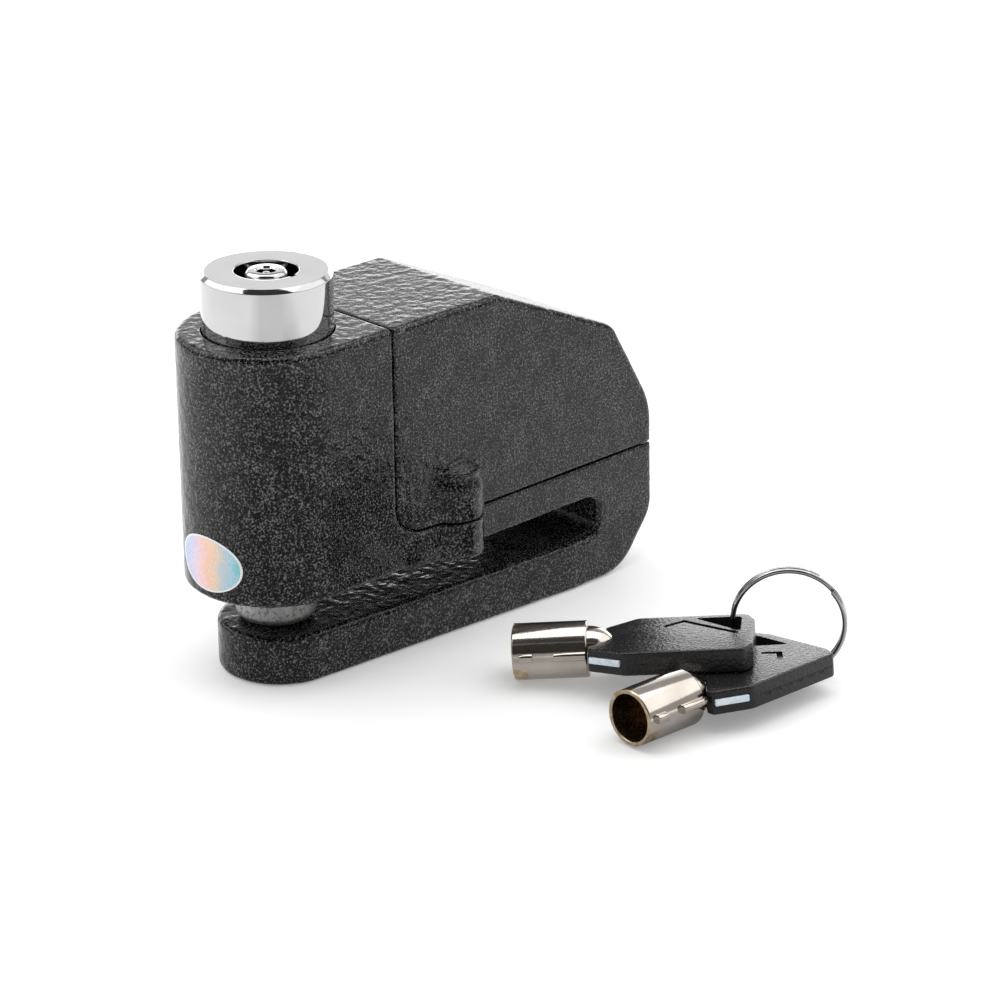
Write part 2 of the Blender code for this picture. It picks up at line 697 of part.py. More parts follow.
def make_spring():
    """The return spring between the bore's floor and the pin's flange."""
    wire_r = 0.6 * MM
    mean_r = 9.3 * MM
    low = SEAT_Z + GAP + wire_r
    high = PIN_HEAD_LOW - GAP - wire_r
    turns = 4.5
    per_turn = 14
    count = int(turns * per_turn) + 1
    points = []
    for k in range(count):
        t = k / (count - 1)
        angle = 2 * math.pi * turns * t
        points.append((mean_r * math.cos(angle), mean_r * math.sin(angle), low + (high - low) * t))
    wire("return_spring", points, wire_r, "spring_steel")


def wire(name, points, radius, look, parent=None):
    """A wire along points, as a mesh."""
    curve = bpy.data.curves.new(name, "CURVE")
    curve.dimensions = "3D"
    curve.bevel_depth = radius
    curve.bevel_resolution = 2
    curve.use_fill_caps = True
    spline = curve.splines.new("POLY")
    spline.points.add(len(points) - 1)
    for point, place in zip(spline.points, points):
        point.co = (*place, 1)
    return add(name, curve_to_mesh(curve, name), look, parent)


def make_dowel_and_seal():
    rod("travel_dowel", DOWEL_R, (9.0 * MM, 0, DOWEL_Z), (SEAM_X - 0.5 * MM, 0, DOWEL_Z), look="zinc_screw")
    seal_r = 0.5 * MM
    centre_r = 11.9 * MM
    profile = [(centre_r + seal_r * math.cos(a), 59.6 * MM - seal_r * math.sin(a))
               for a in (2 * math.pi * k / 8 for k in range(8))]
    turned("cylinder_seal", profile, "rubber", steps=40, closed=True)


# ---------------------------------------------------------------- alarm module

def make_tray():
    """The plastic tray under the circuit board: floor, cell cradle and four posts."""
    floor_top = TRAY_LOW + 1.8 * MM
    low = TRAY_LOW + 0.9 * MM
    outline = [(20.2 * MM, 7.6 * MM), (35.6 * MM, 7.6 * MM), (35.6 * MM, 11.3 * MM), (73.2 * MM, 11.3 * MM)]
    outline += [(x, -y) for x, y in reversed(outline)]
    tray = flat_solid("module_tray", outline, TRAY_LOW, floor_top + 0.6 * MM, "tray_plastic")
    pieces = [rod(f"post_{i}", POST_R, (x, y, low), (x, y, BOARD_LOW - GAP), sides=20)
              for i, (x, y) in enumerate(POSTS)]
    cell_rear = CELL_FRONT + 3 * (CELL_LENGTH + GAP)
    wall = 1.2 * MM
    for name, x in (("front", CELL_FRONT - 1.3 * MM - wall), ("rear", cell_rear + 1.0 * MM)):
        pieces.append(box(f"cradle_{name}", (x, -11.2 * MM, low), (x + wall, 11.2 * MM, 36 * MM)))
    join(tray, *pieces)
    holes = [rod(f"post_hole_{i}", 1.1 * MM, (x, y, 38 * MM), (x, y, 50 * MM), sides=10)
             for i, (x, y) in enumerate(POSTS)]
    cut(tray, *holes)


def make_cells():
    """Six button cells in two rows, and the two contact plates at their ends."""
    for row, y in enumerate((-CELL_Y, CELL_Y)):
        for k in range(3):
            x = CELL_FRONT + k * (CELL_LENGTH + GAP)
            cell = rod(f"button_cell_{row * 3 + k + 1}", CELL_R, (x, y, CELL_Z),
                       (x + CELL_LENGTH, y, CELL_Z), look="cell_steel")
            bevel_all(cell, 0.5 * MM, 1)
    rear = CELL_FRONT + 3 * (CELL_LENGTH + GAP)
    for name, x in (("front", CELL_FRONT - 0.8 * MM), ("rear", rear + 0.2 * MM)):
        box(f"cell_contact_{name}", (x, -10 * MM, 27.5 * MM), (x + 0.4 * MM, 10 * MM, 36 * MM),
            look="brass")


def make_board():
    """The circuit board, its screws and its components."""
    top = BOARD_LOW + BOARD_THICK
    board = box("circuit_board", (BOARD_FRONT, -BOARD_HALF, BOARD_LOW), (BOARD_REAR, BOARD_HALF, top),
                "board_green")
    for i, (x, y) in enumerate(POSTS, start=1):
        cut(board, rod(f"board_hole_{i}", 1.1 * MM, (x, y, 44 * MM), (x, y, 50 * MM), sides=10))
        turned(f"board_screw_{i}", [
            (0, top + 1.3 * MM), (1.4 * MM, top + 1.3 * MM), (1.8 * MM, top + 0.7 * MM),
            (1.8 * MM, top + GAP), (0.8 * MM, top + GAP), (0.8 * MM, 40.5 * MM), (0, 40.0 * MM)],
            "zinc_screw", steps=20, place=(x, y, 0))
    base = top + GAP
    turned("siren", [
        (0, base + 4.4 * MM), (1.4 * MM, base + 4.4 * MM), (1.4 * MM, base + 5.6 * MM),
        (8.4 * MM, base + 5.6 * MM), (9.0 * MM, base + 5.0 * MM), (9.0 * MM, base), (0, base)],
        "component_black", steps=40, place=(40.5 * MM, 0, 0))
    chip = box("controller_chip", (24.0 * MM, -9.8 * MM, base), (30.0 * MM, -3.8 * MM, base + 1.3 * MM),
               "component_black")
    bevel_all(chip, 0.2 * MM, 1)
    sensor = rod("vibration_sensor", 1.8 * MM, (25.5 * MM, 8.4 * MM, base + 1.8 * MM),
                 (32.0 * MM, 8.4 * MM, base + 1.8 * MM), look="sensor_metal")
    bevel_all(sensor, 0.3 * MM, 1)


def make_switch():
    """The switch that senses the cylinder: a case on the board, and a plunger through the barrel's wall."""
    base = BOARD_LOW + BOARD_THICK + GAP
    front = 16.6 * MM
    half = 3.2 * MM
    case = box("lock_switch", (front, PLUNGER_Y - half, base), (22.0 * MM, PLUNGER_Y + half, 56.2 * MM),
               "component_black")
    bevel_all(case, 0.3 * MM, 1)
    cut(case, rod("switch_bore", PLUNGER_R + GAP, (front - 1 * MM, PLUNGER_Y, PLUNGER_Z),
                  (20.8 * MM, PLUNGER_Y, PLUNGER_Z)))
    tip = 8.35 * MM
    length = 18.4 * MM - tip
    plunger = turned("switch_plunger", [
        (0, length), (PLUNGER_R, length), (PLUNGER_R, 0.7 * MM), (0.6 * MM, 0), (0, 0)],
        "plunger_white", steps=20, place=(tip, PLUNGER_Y, PLUNGER_Z))
    plunger.rotation_euler = (0, math.pi / 2, 0)


# ---------------------------------------------------------------- keys and ring

def key_frame(name, pose):
    """An empty at the key's ring hole, X along the key towards its head, Z out of its upper face."""
    turn = (Matrix.Rotation(math.radians(pose["yaw"]), 4, "Z")
            @ Matrix.Rotation(math.radians(-pose["pitch"]), 4, "Y")
            @ Matrix.Rotation(math.radians(pose["roll"]), 4, "X"))
    frame = bpy.data.objects.new(name + "_frame", None)
    PARTS.objects.link(frame)
    hole = Vector((*KEY_HOLE, 0))
    frame.matrix_world = Matrix.Translation(Vector(pose["mouth"])) @ turn @ Matrix.Translation(hole)
    return frame


def make_key(name, pose):
    frame = key_frame(name, pose)
    shift = Vector((-KEY_HOLE[0], -KEY_HOLE[1], 0))
    make_key_tube(name, frame, shift)
    head = make_key_head(name, frame, shift)
    slope = math.atan2(KEY_HALF - KEY_NOSE_HALF, KEY_FLARE - KEY_NOSE)
    width = KEY_NOSE_HALF + (STRIP_MIDDLE - KEY_NOSE) * math.tan(slope)
    centre = Vector((STRIP_MIDDLE, -width, STRIP_RISE)) + shift
    for grow, look in ((0.0, "key_inlay"), (SLIM_GAP, None)):
        size = Vector(STRIP_HALVES) + Vector((grow, grow, grow))
        tag = "_inlay" if look else "_inlay_recess"
        strip = box(name + tag, centre - size, centre + size, look, frame, tilt=(0, 0, -slope))
    cut(head, strip)


def make_key_tube(name, frame, shift):
    """The nickel tube with its open mouth, closed back and bullet-shaped stem."""
    profile = stem_profile(0.0) + [
        (KEY_TUBE_R - 0.4 * MM, KEY_TUBE), (KEY_TUBE_R, KEY_TUBE - 0.4 * MM),
        (KEY_TUBE_R, 0.2 * MM), (KEY_TUBE_R - 0.2 * MM, 0), (KEY_BORE_R, 0),
        (KEY_BORE_R, KEY_TUBE - 1.4 * MM), (0, KEY_TUBE - 1.4 * MM)]
    tube = turned(name + "_tube", profile, "key_nickel", frame, steps=28, place=shift)
    tube.rotation_euler = (0, math.pi / 2, 0)
    ribs = [(1.4 * MM, 3.6 * MM), (7.2 * MM, 12.6 * MM)]
    for index, (start, end) in enumerate(ribs):
        outer = shift.y - KEY_TUBE_R - RIB_RISE
        inner = shift.y - KEY_TUBE_R + 0.5 * MM
        join(tube, box(f"{name}_rib_{index}", (start + shift.x, outer, RIB_LIFT - RIB_HALF),
                       (end + shift.x, inner, RIB_LIFT + RIB_HALF), parent=frame))
    return tube


def stem_profile(grow):
    """The stem's outline from its tip to the tube's back as (radius, length), larger by grow."""
    reach = STEM_END - KEY_TUBE + grow
    angles = [math.radians(15 * k) for k in range(7)]
    return [((STEM_R + grow) * math.sin(a), KEY_TUBE + reach * math.cos(a)) for a in angles]


def make_key_head(name, frame, shift):
    """The moulded head: a long hexagon, notched at the nose for the stem, with a ring hole."""
    corners = [
        (15.3 * MM, 4.8 * MM, 0.6 * MM), (16.8 * MM, -0.8 * MM, 0.4 * MM),
        (KEY_NOSE, -4.9 * MM, 0.55 * MM), (KEY_NOSE, -KEY_NOSE_HALF, 0.55 * MM),
        (KEY_FLARE, -KEY_HALF, 3 * MM),
        (KEY_LENGTH - 1.2 * MM, -KEY_HALF, 1.5 * MM), (KEY_LENGTH, -KEY_HALF + 3 * MM, 2.5 * MM),
        (KEY_LENGTH, KEY_HALF - 3 * MM, 2.5 * MM), (KEY_LENGTH - 1.2 * MM, KEY_HALF, 1.5 * MM),
        (20.6 * MM, KEY_HALF, 2 * MM)]
    outline = [(u + shift.x, v + shift.y) for u, v in round_outline(corners, steps=4)]
    half = KEY_THICK / 2
    head = flat_solid(name + "_head", outline, -half, half, "key_plastic", frame)
    bevel_all(head, 0.5 * MM, 2, 50)
    opening = round_outline([
        (30.4 * MM, 7.9 * MM, 0.35 * MM), (38.6 * MM, 0, 0.35 * MM), (38.6 * MM, 7.9 * MM, 0.9 * MM)],
        steps=4)
    hole = flat_solid(name + "_ring_hole", [(u + shift.x, v + shift.y) for u, v in opening],
                      -2 * half, 2 * half, parent=frame)
    channel = turned(name + "_channel", stem_profile(SLIM_GAP) + [
        (STEM_R + SLIM_GAP, KEY_TUBE - 1 * MM), (0, KEY_TUBE - 1 * MM)], None, frame, steps=28, place=shift)
    channel.rotation_euler = (0, math.pi / 2, 0)
    cut(head, hole, channel)
    return head


def make_ring():
    """The split ring: two turns of wire side by side, their ends offset so that they overlap."""
    turns = 1.95
    per_turn = 36
    count = int(turns * per_turn) + 1
    width = Vector((math.cos(math.radians(RING_YAW)), math.sin(math.radians(RING_YAW)), 0))
    rise = Vector((0, 0, 1))
    side = width.cross(rise)
    start = math.radians(60)
    points = []
    for k in range(count):
        angle = start + 2 * math.pi * turns * k / (count - 1)
        offset = RING_PITCH * (turns * k / (count - 1) - turns / 2)
        points.append(Vector(RING_CENTRE) + (width * math.cos(angle) + rise * math.sin(angle)) * RING_R
                      + side * offset)
    wire("split_ring", points, RING_WIRE_R, "ring_steel")


clear_scene()
PARTS = new_collection("disc_brake_lock")
CUTTERS = new_collection("cutters")
MATERIALS = {name: material(name, *values) for name, values in LOOKS.items()}

make_body()
make_cover()
make_gasket()
make_screws()
make_sticker()
make_sleeve()
make_plug()
make_tumblers()
make_latch()
make_pin()
make_spring()
make_dowel_and_seal()
make_tray()
make_cells()
make_board()
make_switch()
for key_name, key_pose in KEYS.items():
    make_key(key_name, key_pose)
make_ring()
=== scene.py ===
"""Looks for the disc brake lock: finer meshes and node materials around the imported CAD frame.

Every visible piece is remodelled finely in place of its CAD node; the pieces inside keep their CAD mesh
and get a node material. Metres throughout; MM turns millimetres into metres.
"""

import json
import math

import bmesh
import bpy
from mathutils import Matrix, Vector

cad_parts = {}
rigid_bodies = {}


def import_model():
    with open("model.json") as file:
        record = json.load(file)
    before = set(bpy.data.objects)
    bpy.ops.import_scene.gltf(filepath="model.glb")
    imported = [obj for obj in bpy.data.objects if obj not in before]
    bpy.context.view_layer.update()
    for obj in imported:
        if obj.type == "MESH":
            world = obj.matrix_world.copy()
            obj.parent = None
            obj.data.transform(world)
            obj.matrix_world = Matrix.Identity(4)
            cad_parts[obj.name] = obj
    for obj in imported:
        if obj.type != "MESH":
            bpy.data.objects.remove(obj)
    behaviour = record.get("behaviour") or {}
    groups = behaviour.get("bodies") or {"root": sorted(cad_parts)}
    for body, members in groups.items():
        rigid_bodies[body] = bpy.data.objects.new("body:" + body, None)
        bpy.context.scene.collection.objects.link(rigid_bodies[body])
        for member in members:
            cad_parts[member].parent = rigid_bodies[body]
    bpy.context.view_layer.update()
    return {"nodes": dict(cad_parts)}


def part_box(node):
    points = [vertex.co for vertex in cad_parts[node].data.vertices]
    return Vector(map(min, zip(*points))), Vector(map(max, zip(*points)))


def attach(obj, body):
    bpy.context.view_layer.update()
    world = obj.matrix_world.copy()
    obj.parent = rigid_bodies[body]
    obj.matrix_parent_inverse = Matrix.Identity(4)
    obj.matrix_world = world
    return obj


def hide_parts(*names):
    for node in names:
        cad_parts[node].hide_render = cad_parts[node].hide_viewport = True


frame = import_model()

MM = 0.001
GAP = 0.3 * MM

# ---- sizes, from the frame where it has them

BODY_LOW, BODY_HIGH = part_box("body_casting")
SLEEVE_LOW, SLEEVE_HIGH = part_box("lock_cylinder")
PLUG_LOW, PLUG_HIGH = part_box("lock_plug")
PIN_LOW, PIN_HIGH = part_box("locking_pin")

BARREL_R = -BODY_LOW.x
BODY_TOP = BODY_HIGH.z
BODY_REAR = BODY_HIGH.x
RIM_ROUND = 1.1 * MM
JAW_LOW = 9.0 * MM
JAW_HIGH = 16.8 * MM
SLOT_END = 63.9 * MM
SLOT_ROUND = 2.8 * MM
ARM_TIP_R = 11.0 * MM
ARM_TIP_X = 1.0 * MM
ARM_ROOT_X = 58.0 * MM
SEAM_X = 13.6 * MM
SEAM_Z = 23.6 * MM
SEAM_ROUND = 5.0 * MM
COVER_WALL = 2.2 * MM
BOSS_X = 28.4 * MM
BOSS_Y = 14.2 * MM
BOSS_R = 5.5 * MM
BOSS_SHOULDER = 28.4 * MM
SCREW_Y = 15.4 * MM
BESIDE = 25 * MM            # past the body's sides, for cutters that go right through

HEAD_R = SLEEVE_HIGH.x
HEAD_TOP = SLEEVE_HIGH.z
BORE_R = HEAD_R + GAP
SEAT_Z = 24.0 * MM
KEYWAY_R = 5.35 * MM
KEYWAY_FLOOR = 62.7 * MM
CHAMBER_R = 7.6 * MM
CHAMBER_LOW = 41.8 * MM
POST_R = 3.5 * MM
POST_TOP = PLUG_HIGH.z
SHANK_R = 7.0 * MM
SHANK_LOW = 9.3 * MM
NOSE_R = 4.0 * MM
PIN_HEAD_R = PIN_HIGH.x
PIN_HEAD_LOW = 35.5 * MM
LATCH_LOW = 42.4 * MM
LATCH_HIGH = 46.0 * MM
LATCH_HALF = 2.3 * MM
STROKE = 12.0 * MM

KEY_TUBE_R = 4.85 * MM
KEY_BORE_R = 4.05 * MM
KEY_TUBE = 12.8 * MM
KEY_LENGTH = 40.8 * MM
KEY_HALF = 9.4 * MM
KEY_NOSE = 13.1 * MM
KEY_NOSE_HALF = 6.3 * MM
KEY_FLARE = 19.4 * MM
KEY_THICK = 4.1 * MM
STEM_R = 3.9 * MM
STEM_END = 17.5 * MM
STRIP_MIDDLE = 16.05 * MM
STRIP_RISE = 0.15 * MM
STRIP_HALVES = (2.95 * MM, 0.4 * MM, 0.55 * MM)
RIB_HALF = 0.75 * MM
RIB_LIFT = 0.45 * MM
RIB_RISE = 0.95 * MM
KEYS = {
    "key_1": {"mouth": (24.3 * MM, -33.4 * MM, 4.86 * MM), "yaw": -50.5, "pitch": 5.3, "roll": -6.5},
    "key_2": {"mouth": (19.2 * MM, -64.8 * MM, 5.22 * MM), "yaw": -2.3, "pitch": -1.7, "roll": -7.6},
}
RING_R = 9.5 * MM
RING_WIRE_R = 0.45 * MM
RING_PITCH = 1.0 * MM
RING_CENTRE = (58.0 * MM, -65.55 * MM, 10.0 * MM)
RING_YAW = -50.2

SKIN_VOXEL = 0.30 * MM      # the painted castings' mesh size, which also rounds their edges
RIPPLE = 0.075 * MM         # height of the orange peel in the paint


# ---- materials

class Look:
    """One node material: object coordinates, noises and ramps that drive a Principled shader."""

    def __init__(self, name, metallic=0.0, ior=1.5):
        self.material = bpy.data.materials.new(name)
        self.material.use_nodes = True
        self.tree = self.material.node_tree
        self.shader = self.tree.nodes["Principled BSDF"]
        self.set("Metallic", metallic)
        self.set("IOR", ior)
        self.place = self.tree.nodes.new("ShaderNodeTexCoord").outputs["Object"]
        self.last_bump = None

    def add(self, kind, **settings):
        made = self.tree.nodes.new(kind)
        for key, value in settings.items():
            setattr(made, key, value)
        return made

    def link(self, source, target):
        self.tree.links.new(source, target)

    def stretched(self, scale):
        mapping = self.add("ShaderNodeMapping")
        mapping.inputs["Scale"].default_value = scale
        self.link(self.place, mapping.inputs["Vector"])
        return mapping.outputs["Vector"]

    def noise(self, size, detail=2.0, rough=0.5, stretch=(1, 1, 1), distortion=0.0):
        """Noise whose features are about size metres across."""
        made = self.add("ShaderNodeTexNoise")
        made.inputs["Scale"].default_value = 1 / size
        made.inputs["Detail"].default_value = detail
        made.inputs["Roughness"].default_value = rough
        made.inputs["Distortion"].default_value = distortion
        self.link(self.stretched(stretch), made.inputs["Vector"])
        return made.outputs["Fac"]

    def cells(self, size):
        """Distances to the nearest of points about size metres apart."""
        made = self.add("ShaderNodeTexVoronoi")
        made.inputs["Scale"].default_value = 1 / size
        self.link(self.place, made.inputs["Vector"])
        return made.outputs["Distance"]

    def along(self, axis):
        """One coordinate of the place."""
        made = self.add("ShaderNodeSeparateXYZ")
        self.link(self.place, made.inputs["Vector"])
        return made.outputs[axis]

    def math(self, operation, first, second=0.0):
        made = self.add("ShaderNodeMath", operation=operation)
        for socket, value in zip(made.inputs, (first, second)):
            if isinstance(value, (int, float)):
                socket.default_value = value
            else:
                self.link(value, socket)
        return made.outputs["Value"]

    def span(self, source, low, high, start=0.3, end=0.7):
        """source from start..end carried to low..high."""
        made = self.add("ShaderNodeMapRange")
        made.inputs["From Min"].default_value = start
        made.inputs["From Max"].default_value = end
        made.inputs["To Min"].default_value = low
        made.inputs["To Max"].default_value = high
        self.link(source, made.inputs["Value"])
        return made.outputs["Result"]

    def ramp(self, source, stops):
        """source through a colour ramp of (position, (r, g, b)) stops."""
        made = self.add("ShaderNodeValToRGB")
        elements = made.color_ramp.elements
        while len(elements) < len(stops):
            elements.new(0.5)
        for element, (position, colour) in zip(elements, stops):
            element.position = position
            element.color = (*colour, 1)
        self.link(source, made.inputs["Fac"])
        return made.outputs["Color"]

    def mix(self, share, first, second, blend="MIX"):
        made = self.add("ShaderNodeMix", data_type="RGBA", blend_type=blend)
        for socket, value in ((made.inputs[0], share), (made.inputs[6], first), (made.inputs[7], second)):
            if isinstance(value, (int, float)):
                socket.default_value = value
            elif isinstance(value, tuple):
                socket.default_value = (*value, 1)
            else:
                self.link(value, socket)
        return made.outputs[2]

    def tone(self, source, dark, light):
        """source as a colour from dark to light."""
        return self.ramp(source, [(0.3, dark), (0.7, light)])

    def set(self, name, value):
        """A uniform value on one of the shader's sockets."""
        self.shader.inputs[name].default_value = value

    def colour(self, source):
        self.link(source, self.shader.inputs["Base Color"])

    def roughness(self, source, low, high):
        self.link(self.span(source, low, high), self.shader.inputs["Roughness"])

    def bump(self, height, depth):
        """A bump of that depth in metres, on top of any bump before it."""
        made = self.add("ShaderNodeBump")
        made.inputs["Distance"].default_value = depth
        self.link(height, made.inputs["Height"])
        if self.last_bump:
            self.link(self.last_bump, made.inputs["Normal"])
        self.last_bump = made.outputs["Normal"]
        self.link(self.last_bump, self.shader.inputs["Normal"])


def paint_look():
    """Black hammered powder coat over a rippled glossy skin, with fine light specks in the black that are
    painted highlights: glints of the lights on its bumps.
    """
    look = Look("hammered_black", ior=1.36)
    drift = look.span(look.noise(3.4 * MM, detail=2.0), -0.03, 0.03)
    # painted highlight: the light specks in the colour stand for the lights' glints on the bumpy paint
    painted_glints = look.math("ADD", look.noise(0.36 * MM, detail=2.0, rough=0.6), drift)
    glint_share = look.ramp(painted_glints, [(0.50, (0.0, 0.0, 0.0)), (0.70, (1.0, 1.0, 1.0))])
    look.colour(look.mix(glint_share, (0.0018, 0.0018, 0.0022), (0.178, 0.18, 0.186)))
    look.roughness(look.noise(1.3 * MM, detail=3.0), 0.09, 0.17)
    look.bump(look.noise(1.7 * MM, detail=1.5), 0.17 * MM)
    look.bump(look.noise(0.42 * MM, detail=2.0), 0.020 * MM)
    return look.material


def bore_look():
    """Bare machined zinc inside the bore and the pockets."""
    look = Look("machined_zinc", metallic=1.0)
    rings = look.noise(0.5 * MM, stretch=(0.1, 0.1, 3.0))
    look.colour(look.tone(rings, (0.16, 0.16, 0.165), (0.26, 0.26, 0.27)))
    look.roughness(rings, 0.35, 0.55)
    look.bump(rings, 0.01 * MM)
    return look.material


def chrome_look():
    """Polished chrome with faint handling haze and turning lines."""
    look = Look("polished_chrome", metallic=1.0)
    haze = look.noise(7 * MM, detail=4.0)
    look.colour(look.tone(haze, (0.54, 0.54, 0.543), (0.59, 0.59, 0.593)))
    look.roughness(look.noise(3 * MM, detail=5.0), 0.05, 0.09)
    lines = look.noise(0.35 * MM, stretch=(0.05, 0.05, 1.0), detail=1.0)
    look.bump(lines, 0.0012 * MM)
    return look.material


def cast_pin_look():
    """Plated cast pin: light grey, blasted, with small soft pits."""
    look = Look("plated_casting", metallic=1.0)
    pits = look.noise(0.55 * MM, detail=3.0, rough=0.65)
    flow = look.noise(2.4 * MM, stretch=(1, 1, 0.4), detail=3.0)
    base = look.tone(flow, (0.46, 0.46, 0.455), (0.56, 0.56, 0.555))
    dark = look.ramp(pits, [(0.34, (0.40, 0.40, 0.40)), (0.50, (1, 1, 1))])
    look.colour(look.mix(1.0, base, dark, "MULTIPLY"))
    look.roughness(pits, 0.62, 0.48)
    look.bump(pits, 0.06 * MM)
    return look.material


def nickel_look():
    """Warm nickel plate with fine polishing marks."""
    look = Look("warm_nickel", metallic=1.0)
    cloud = look.noise(5 * MM, detail=3.0)
    look.colour(look.tone(cloud, (0.60, 0.54, 0.48), (0.70, 0.64, 0.58)))
    marks = look.noise(0.25 * MM, detail=2.0)
    look.roughness(marks, 0.09, 0.17)
    look.bump(marks, 0.002 * MM)
    return look.material


def worn_brass_look(name, light, dark):
    """Brass where the plate is worn through or was never laid."""
    look = Look(name, metallic=1.0)
    stain = look.noise(1.2 * MM, detail=4.0, rough=0.6)
    look.colour(look.ramp(stain, [(0.35, dark), (0.65, light)]))
    look.roughness(stain, 0.34, 0.18)
    look.bump(look.noise(0.3 * MM), 0.003 * MM)
    return look.material


def grained_plastic_look(name, dark, light, grain, depth, rough):
    """Moulded plastic with a spark-eroded grain."""
    look = Look(name)
    field = look.noise(grain, detail=3.0, rough=0.6)
    look.colour(look.tone(look.noise(9 * MM, detail=4.0), dark, light))
    look.roughness(field, rough - 0.07, rough + 0.08)
    look.bump(look.cells(grain * 1.4), depth)
    look.bump(field, depth)
    return look.material


def drawn_metal_look(name, dark, light, rough, stretch=(1, 1, 1), grain=0.3 * MM):
    """Plain metal stock: brushed, drawn or plated."""
    look = Look(name, metallic=1.0)
    marks = look.noise(grain, detail=3.0, stretch=stretch)
    tone = look.noise(3.5 * MM, detail=4.0)
    base = look.tone(tone, dark, light)
    look.colour(base)
    look.roughness(marks, rough - 0.06, rough + 0.10)
    look.bump(marks, 0.004 * MM)
    return look.material


def inlay_look():
    """Pale blue-white strip with a pearly grain."""
    look = Look("pearl_strip", metallic=0.15)
    streak = look.noise(1.6 * MM, detail=3.0)
    look.colour(look.ramp(streak, [(0.3, (0.62, 0.77, 0.88)), (0.55, (0.80, 0.88, 0.94)),
                                   (0.8, (0.90, 0.93, 0.97))]))
    look.roughness(streak, 0.22, 0.34)
    look.bump(look.noise(0.3 * MM), 0.004 * MM)
    return look.material


def foil_look():
    """Rainbow foil with a white rim, banded across the label."""
    look = Look("rainbow_foil", metallic=0.25)
    chart = look.add("ShaderNodeUVMap", uv_map="oval")
    parts = look.add("ShaderNodeSeparateXYZ")
    look.link(chart.outputs["UV"], parts.inputs["Vector"])
    across = look.span(parts.outputs["X"], 0.0, 1.0, -1.0, 1.0)
    wander = look.span(look.noise(3 * MM, detail=2.0), -0.05, 0.05)
    bands = look.ramp(look.math("ADD", across, wander), [
        (0.00, (0.42, 0.50, 0.70)), (0.14, (0.50, 0.58, 0.80)), (0.27, (0.66, 0.60, 0.80)),
        (0.38, (0.86, 0.62, 0.66)), (0.52, (0.93, 0.60, 0.44)), (0.64, (0.86, 0.66, 0.50)),
        (0.74, (0.60, 0.64, 0.66)), (0.86, (0.42, 0.66, 0.80)), (0.95, (0.24, 0.62, 0.66))])
    radius = look.add("ShaderNodeVectorMath", operation="LENGTH")
    look.link(chart.outputs["UV"], radius.inputs[0])
    rim = look.span(radius.outputs["Value"], 0.0, 1.0, 0.935, 0.95)
    look.colour(look.mix(rim, bands, (0.86, 0.87, 0.88)))
    fine = look.noise(0.12 * MM, detail=1.0, stretch=(1, 1, 0.15))
    look.roughness(fine, 0.22, 0.36)
    look.bump(fine, 0.002 * MM)
    look.set("Coat Weight", 0.4)
    look.set("Coat Roughness", 0.12)
    return look.material


def board_look():
    """Solder mask over faint copper tracks."""
    look = Look("solder_mask")
    tracks = look.add("ShaderNodeTexBrick", offset=0.5)
    tracks.inputs["Scale"].default_value = 1 / (6 * MM)
    tracks.inputs["Color1"].default_value = (0.012, 0.13, 0.045, 1)
    tracks.inputs["Color2"].default_value = (0.016, 0.15, 0.055, 1)
    tracks.inputs["Mortar"].default_value = (0.045, 0.26, 0.10, 1)
    tracks.inputs["Mortar Size"].default_value = 0.03
    look.link(look.place, tracks.inputs["Vector"])
    look.colour(tracks.outputs["Color"])
    look.roughness(look.noise(1.5 * MM), 0.28, 0.42)
    look.bump(tracks.outputs["Fac"], 0.03 * MM)
    return look.material


def make_looks():
    """Every material by the record's slot name, with a few more for parts of a piece."""
    return {
        "black_paint": paint_look(),
        "machined": bore_look(),
        "chrome": chrome_look(),
        "cast_metal": cast_pin_look(),
        "key_nickel": nickel_look(),
        "key_brass": worn_brass_look("bare_brass", (0.88, 0.77, 0.58), (0.58, 0.40, 0.22)),
        # the bore's brass is a darker copy of the mouth's: unplated brass with painted shade of the tube's
        # inside
        "key_bore": worn_brass_look("dark_bore", (0.60, 0.50, 0.38), (0.30, 0.22, 0.15)),
        "brass": worn_brass_look("turned_brass", (0.78, 0.60, 0.30), (0.58, 0.42, 0.18)),
        "key_plastic": grained_plastic_look("key_plastic_grain", (0.010, 0.010, 0.011),
                                            (0.016, 0.016, 0.017), 0.44 * MM, 0.050 * MM, 0.27),
        "key_inlay": inlay_look(),
        "foil": foil_look(),
        "ring_steel": drawn_metal_look("ring_wire_steel", (0.40, 0.40, 0.41), (0.56, 0.56, 0.57), 0.11),
        "spring_steel": drawn_metal_look("spring_wire", (0.36, 0.36, 0.38), (0.55, 0.55, 0.57), 0.32),
        "zinc_screw": drawn_metal_look("zinc_plate", (0.44, 0.46, 0.48), (0.64, 0.65, 0.66), 0.34),
        "cell_steel": drawn_metal_look("cell_can", (0.60, 0.60, 0.61), (0.74, 0.74, 0.74), 0.24,
                                       (0.2, 3, 3)),
        "sensor_metal": drawn_metal_look("sensor_can", (0.50, 0.48, 0.44), (0.66, 0.64, 0.60), 0.30),
        "rubber": grained_plastic_look("seal_rubber", (0.010, 0.010, 0.010), (0.022, 0.022, 0.022),
                                       0.5 * MM, 0.012 * MM, 0.75),
        "tray_plastic": grained_plastic_look("tray_moulding", (0.035, 0.035, 0.038), (0.055, 0.055, 0.06),
                                             0.4 * MM, 0.010 * MM, 0.50),
        "component_black": grained_plastic_look("component_case", (0.018, 0.018, 0.019),
                                                (0.032, 0.032, 0.034), 0.25 * MM, 0.006 * MM, 0.42),
        "plunger_white": grained_plastic_look("plunger_moulding", (0.66, 0.65, 0.60), (0.80, 0.79, 0.75),
                                              0.3 * MM, 0.005 * MM, 0.36),
        "board_green": board_look(),
    }


# ---- outlines

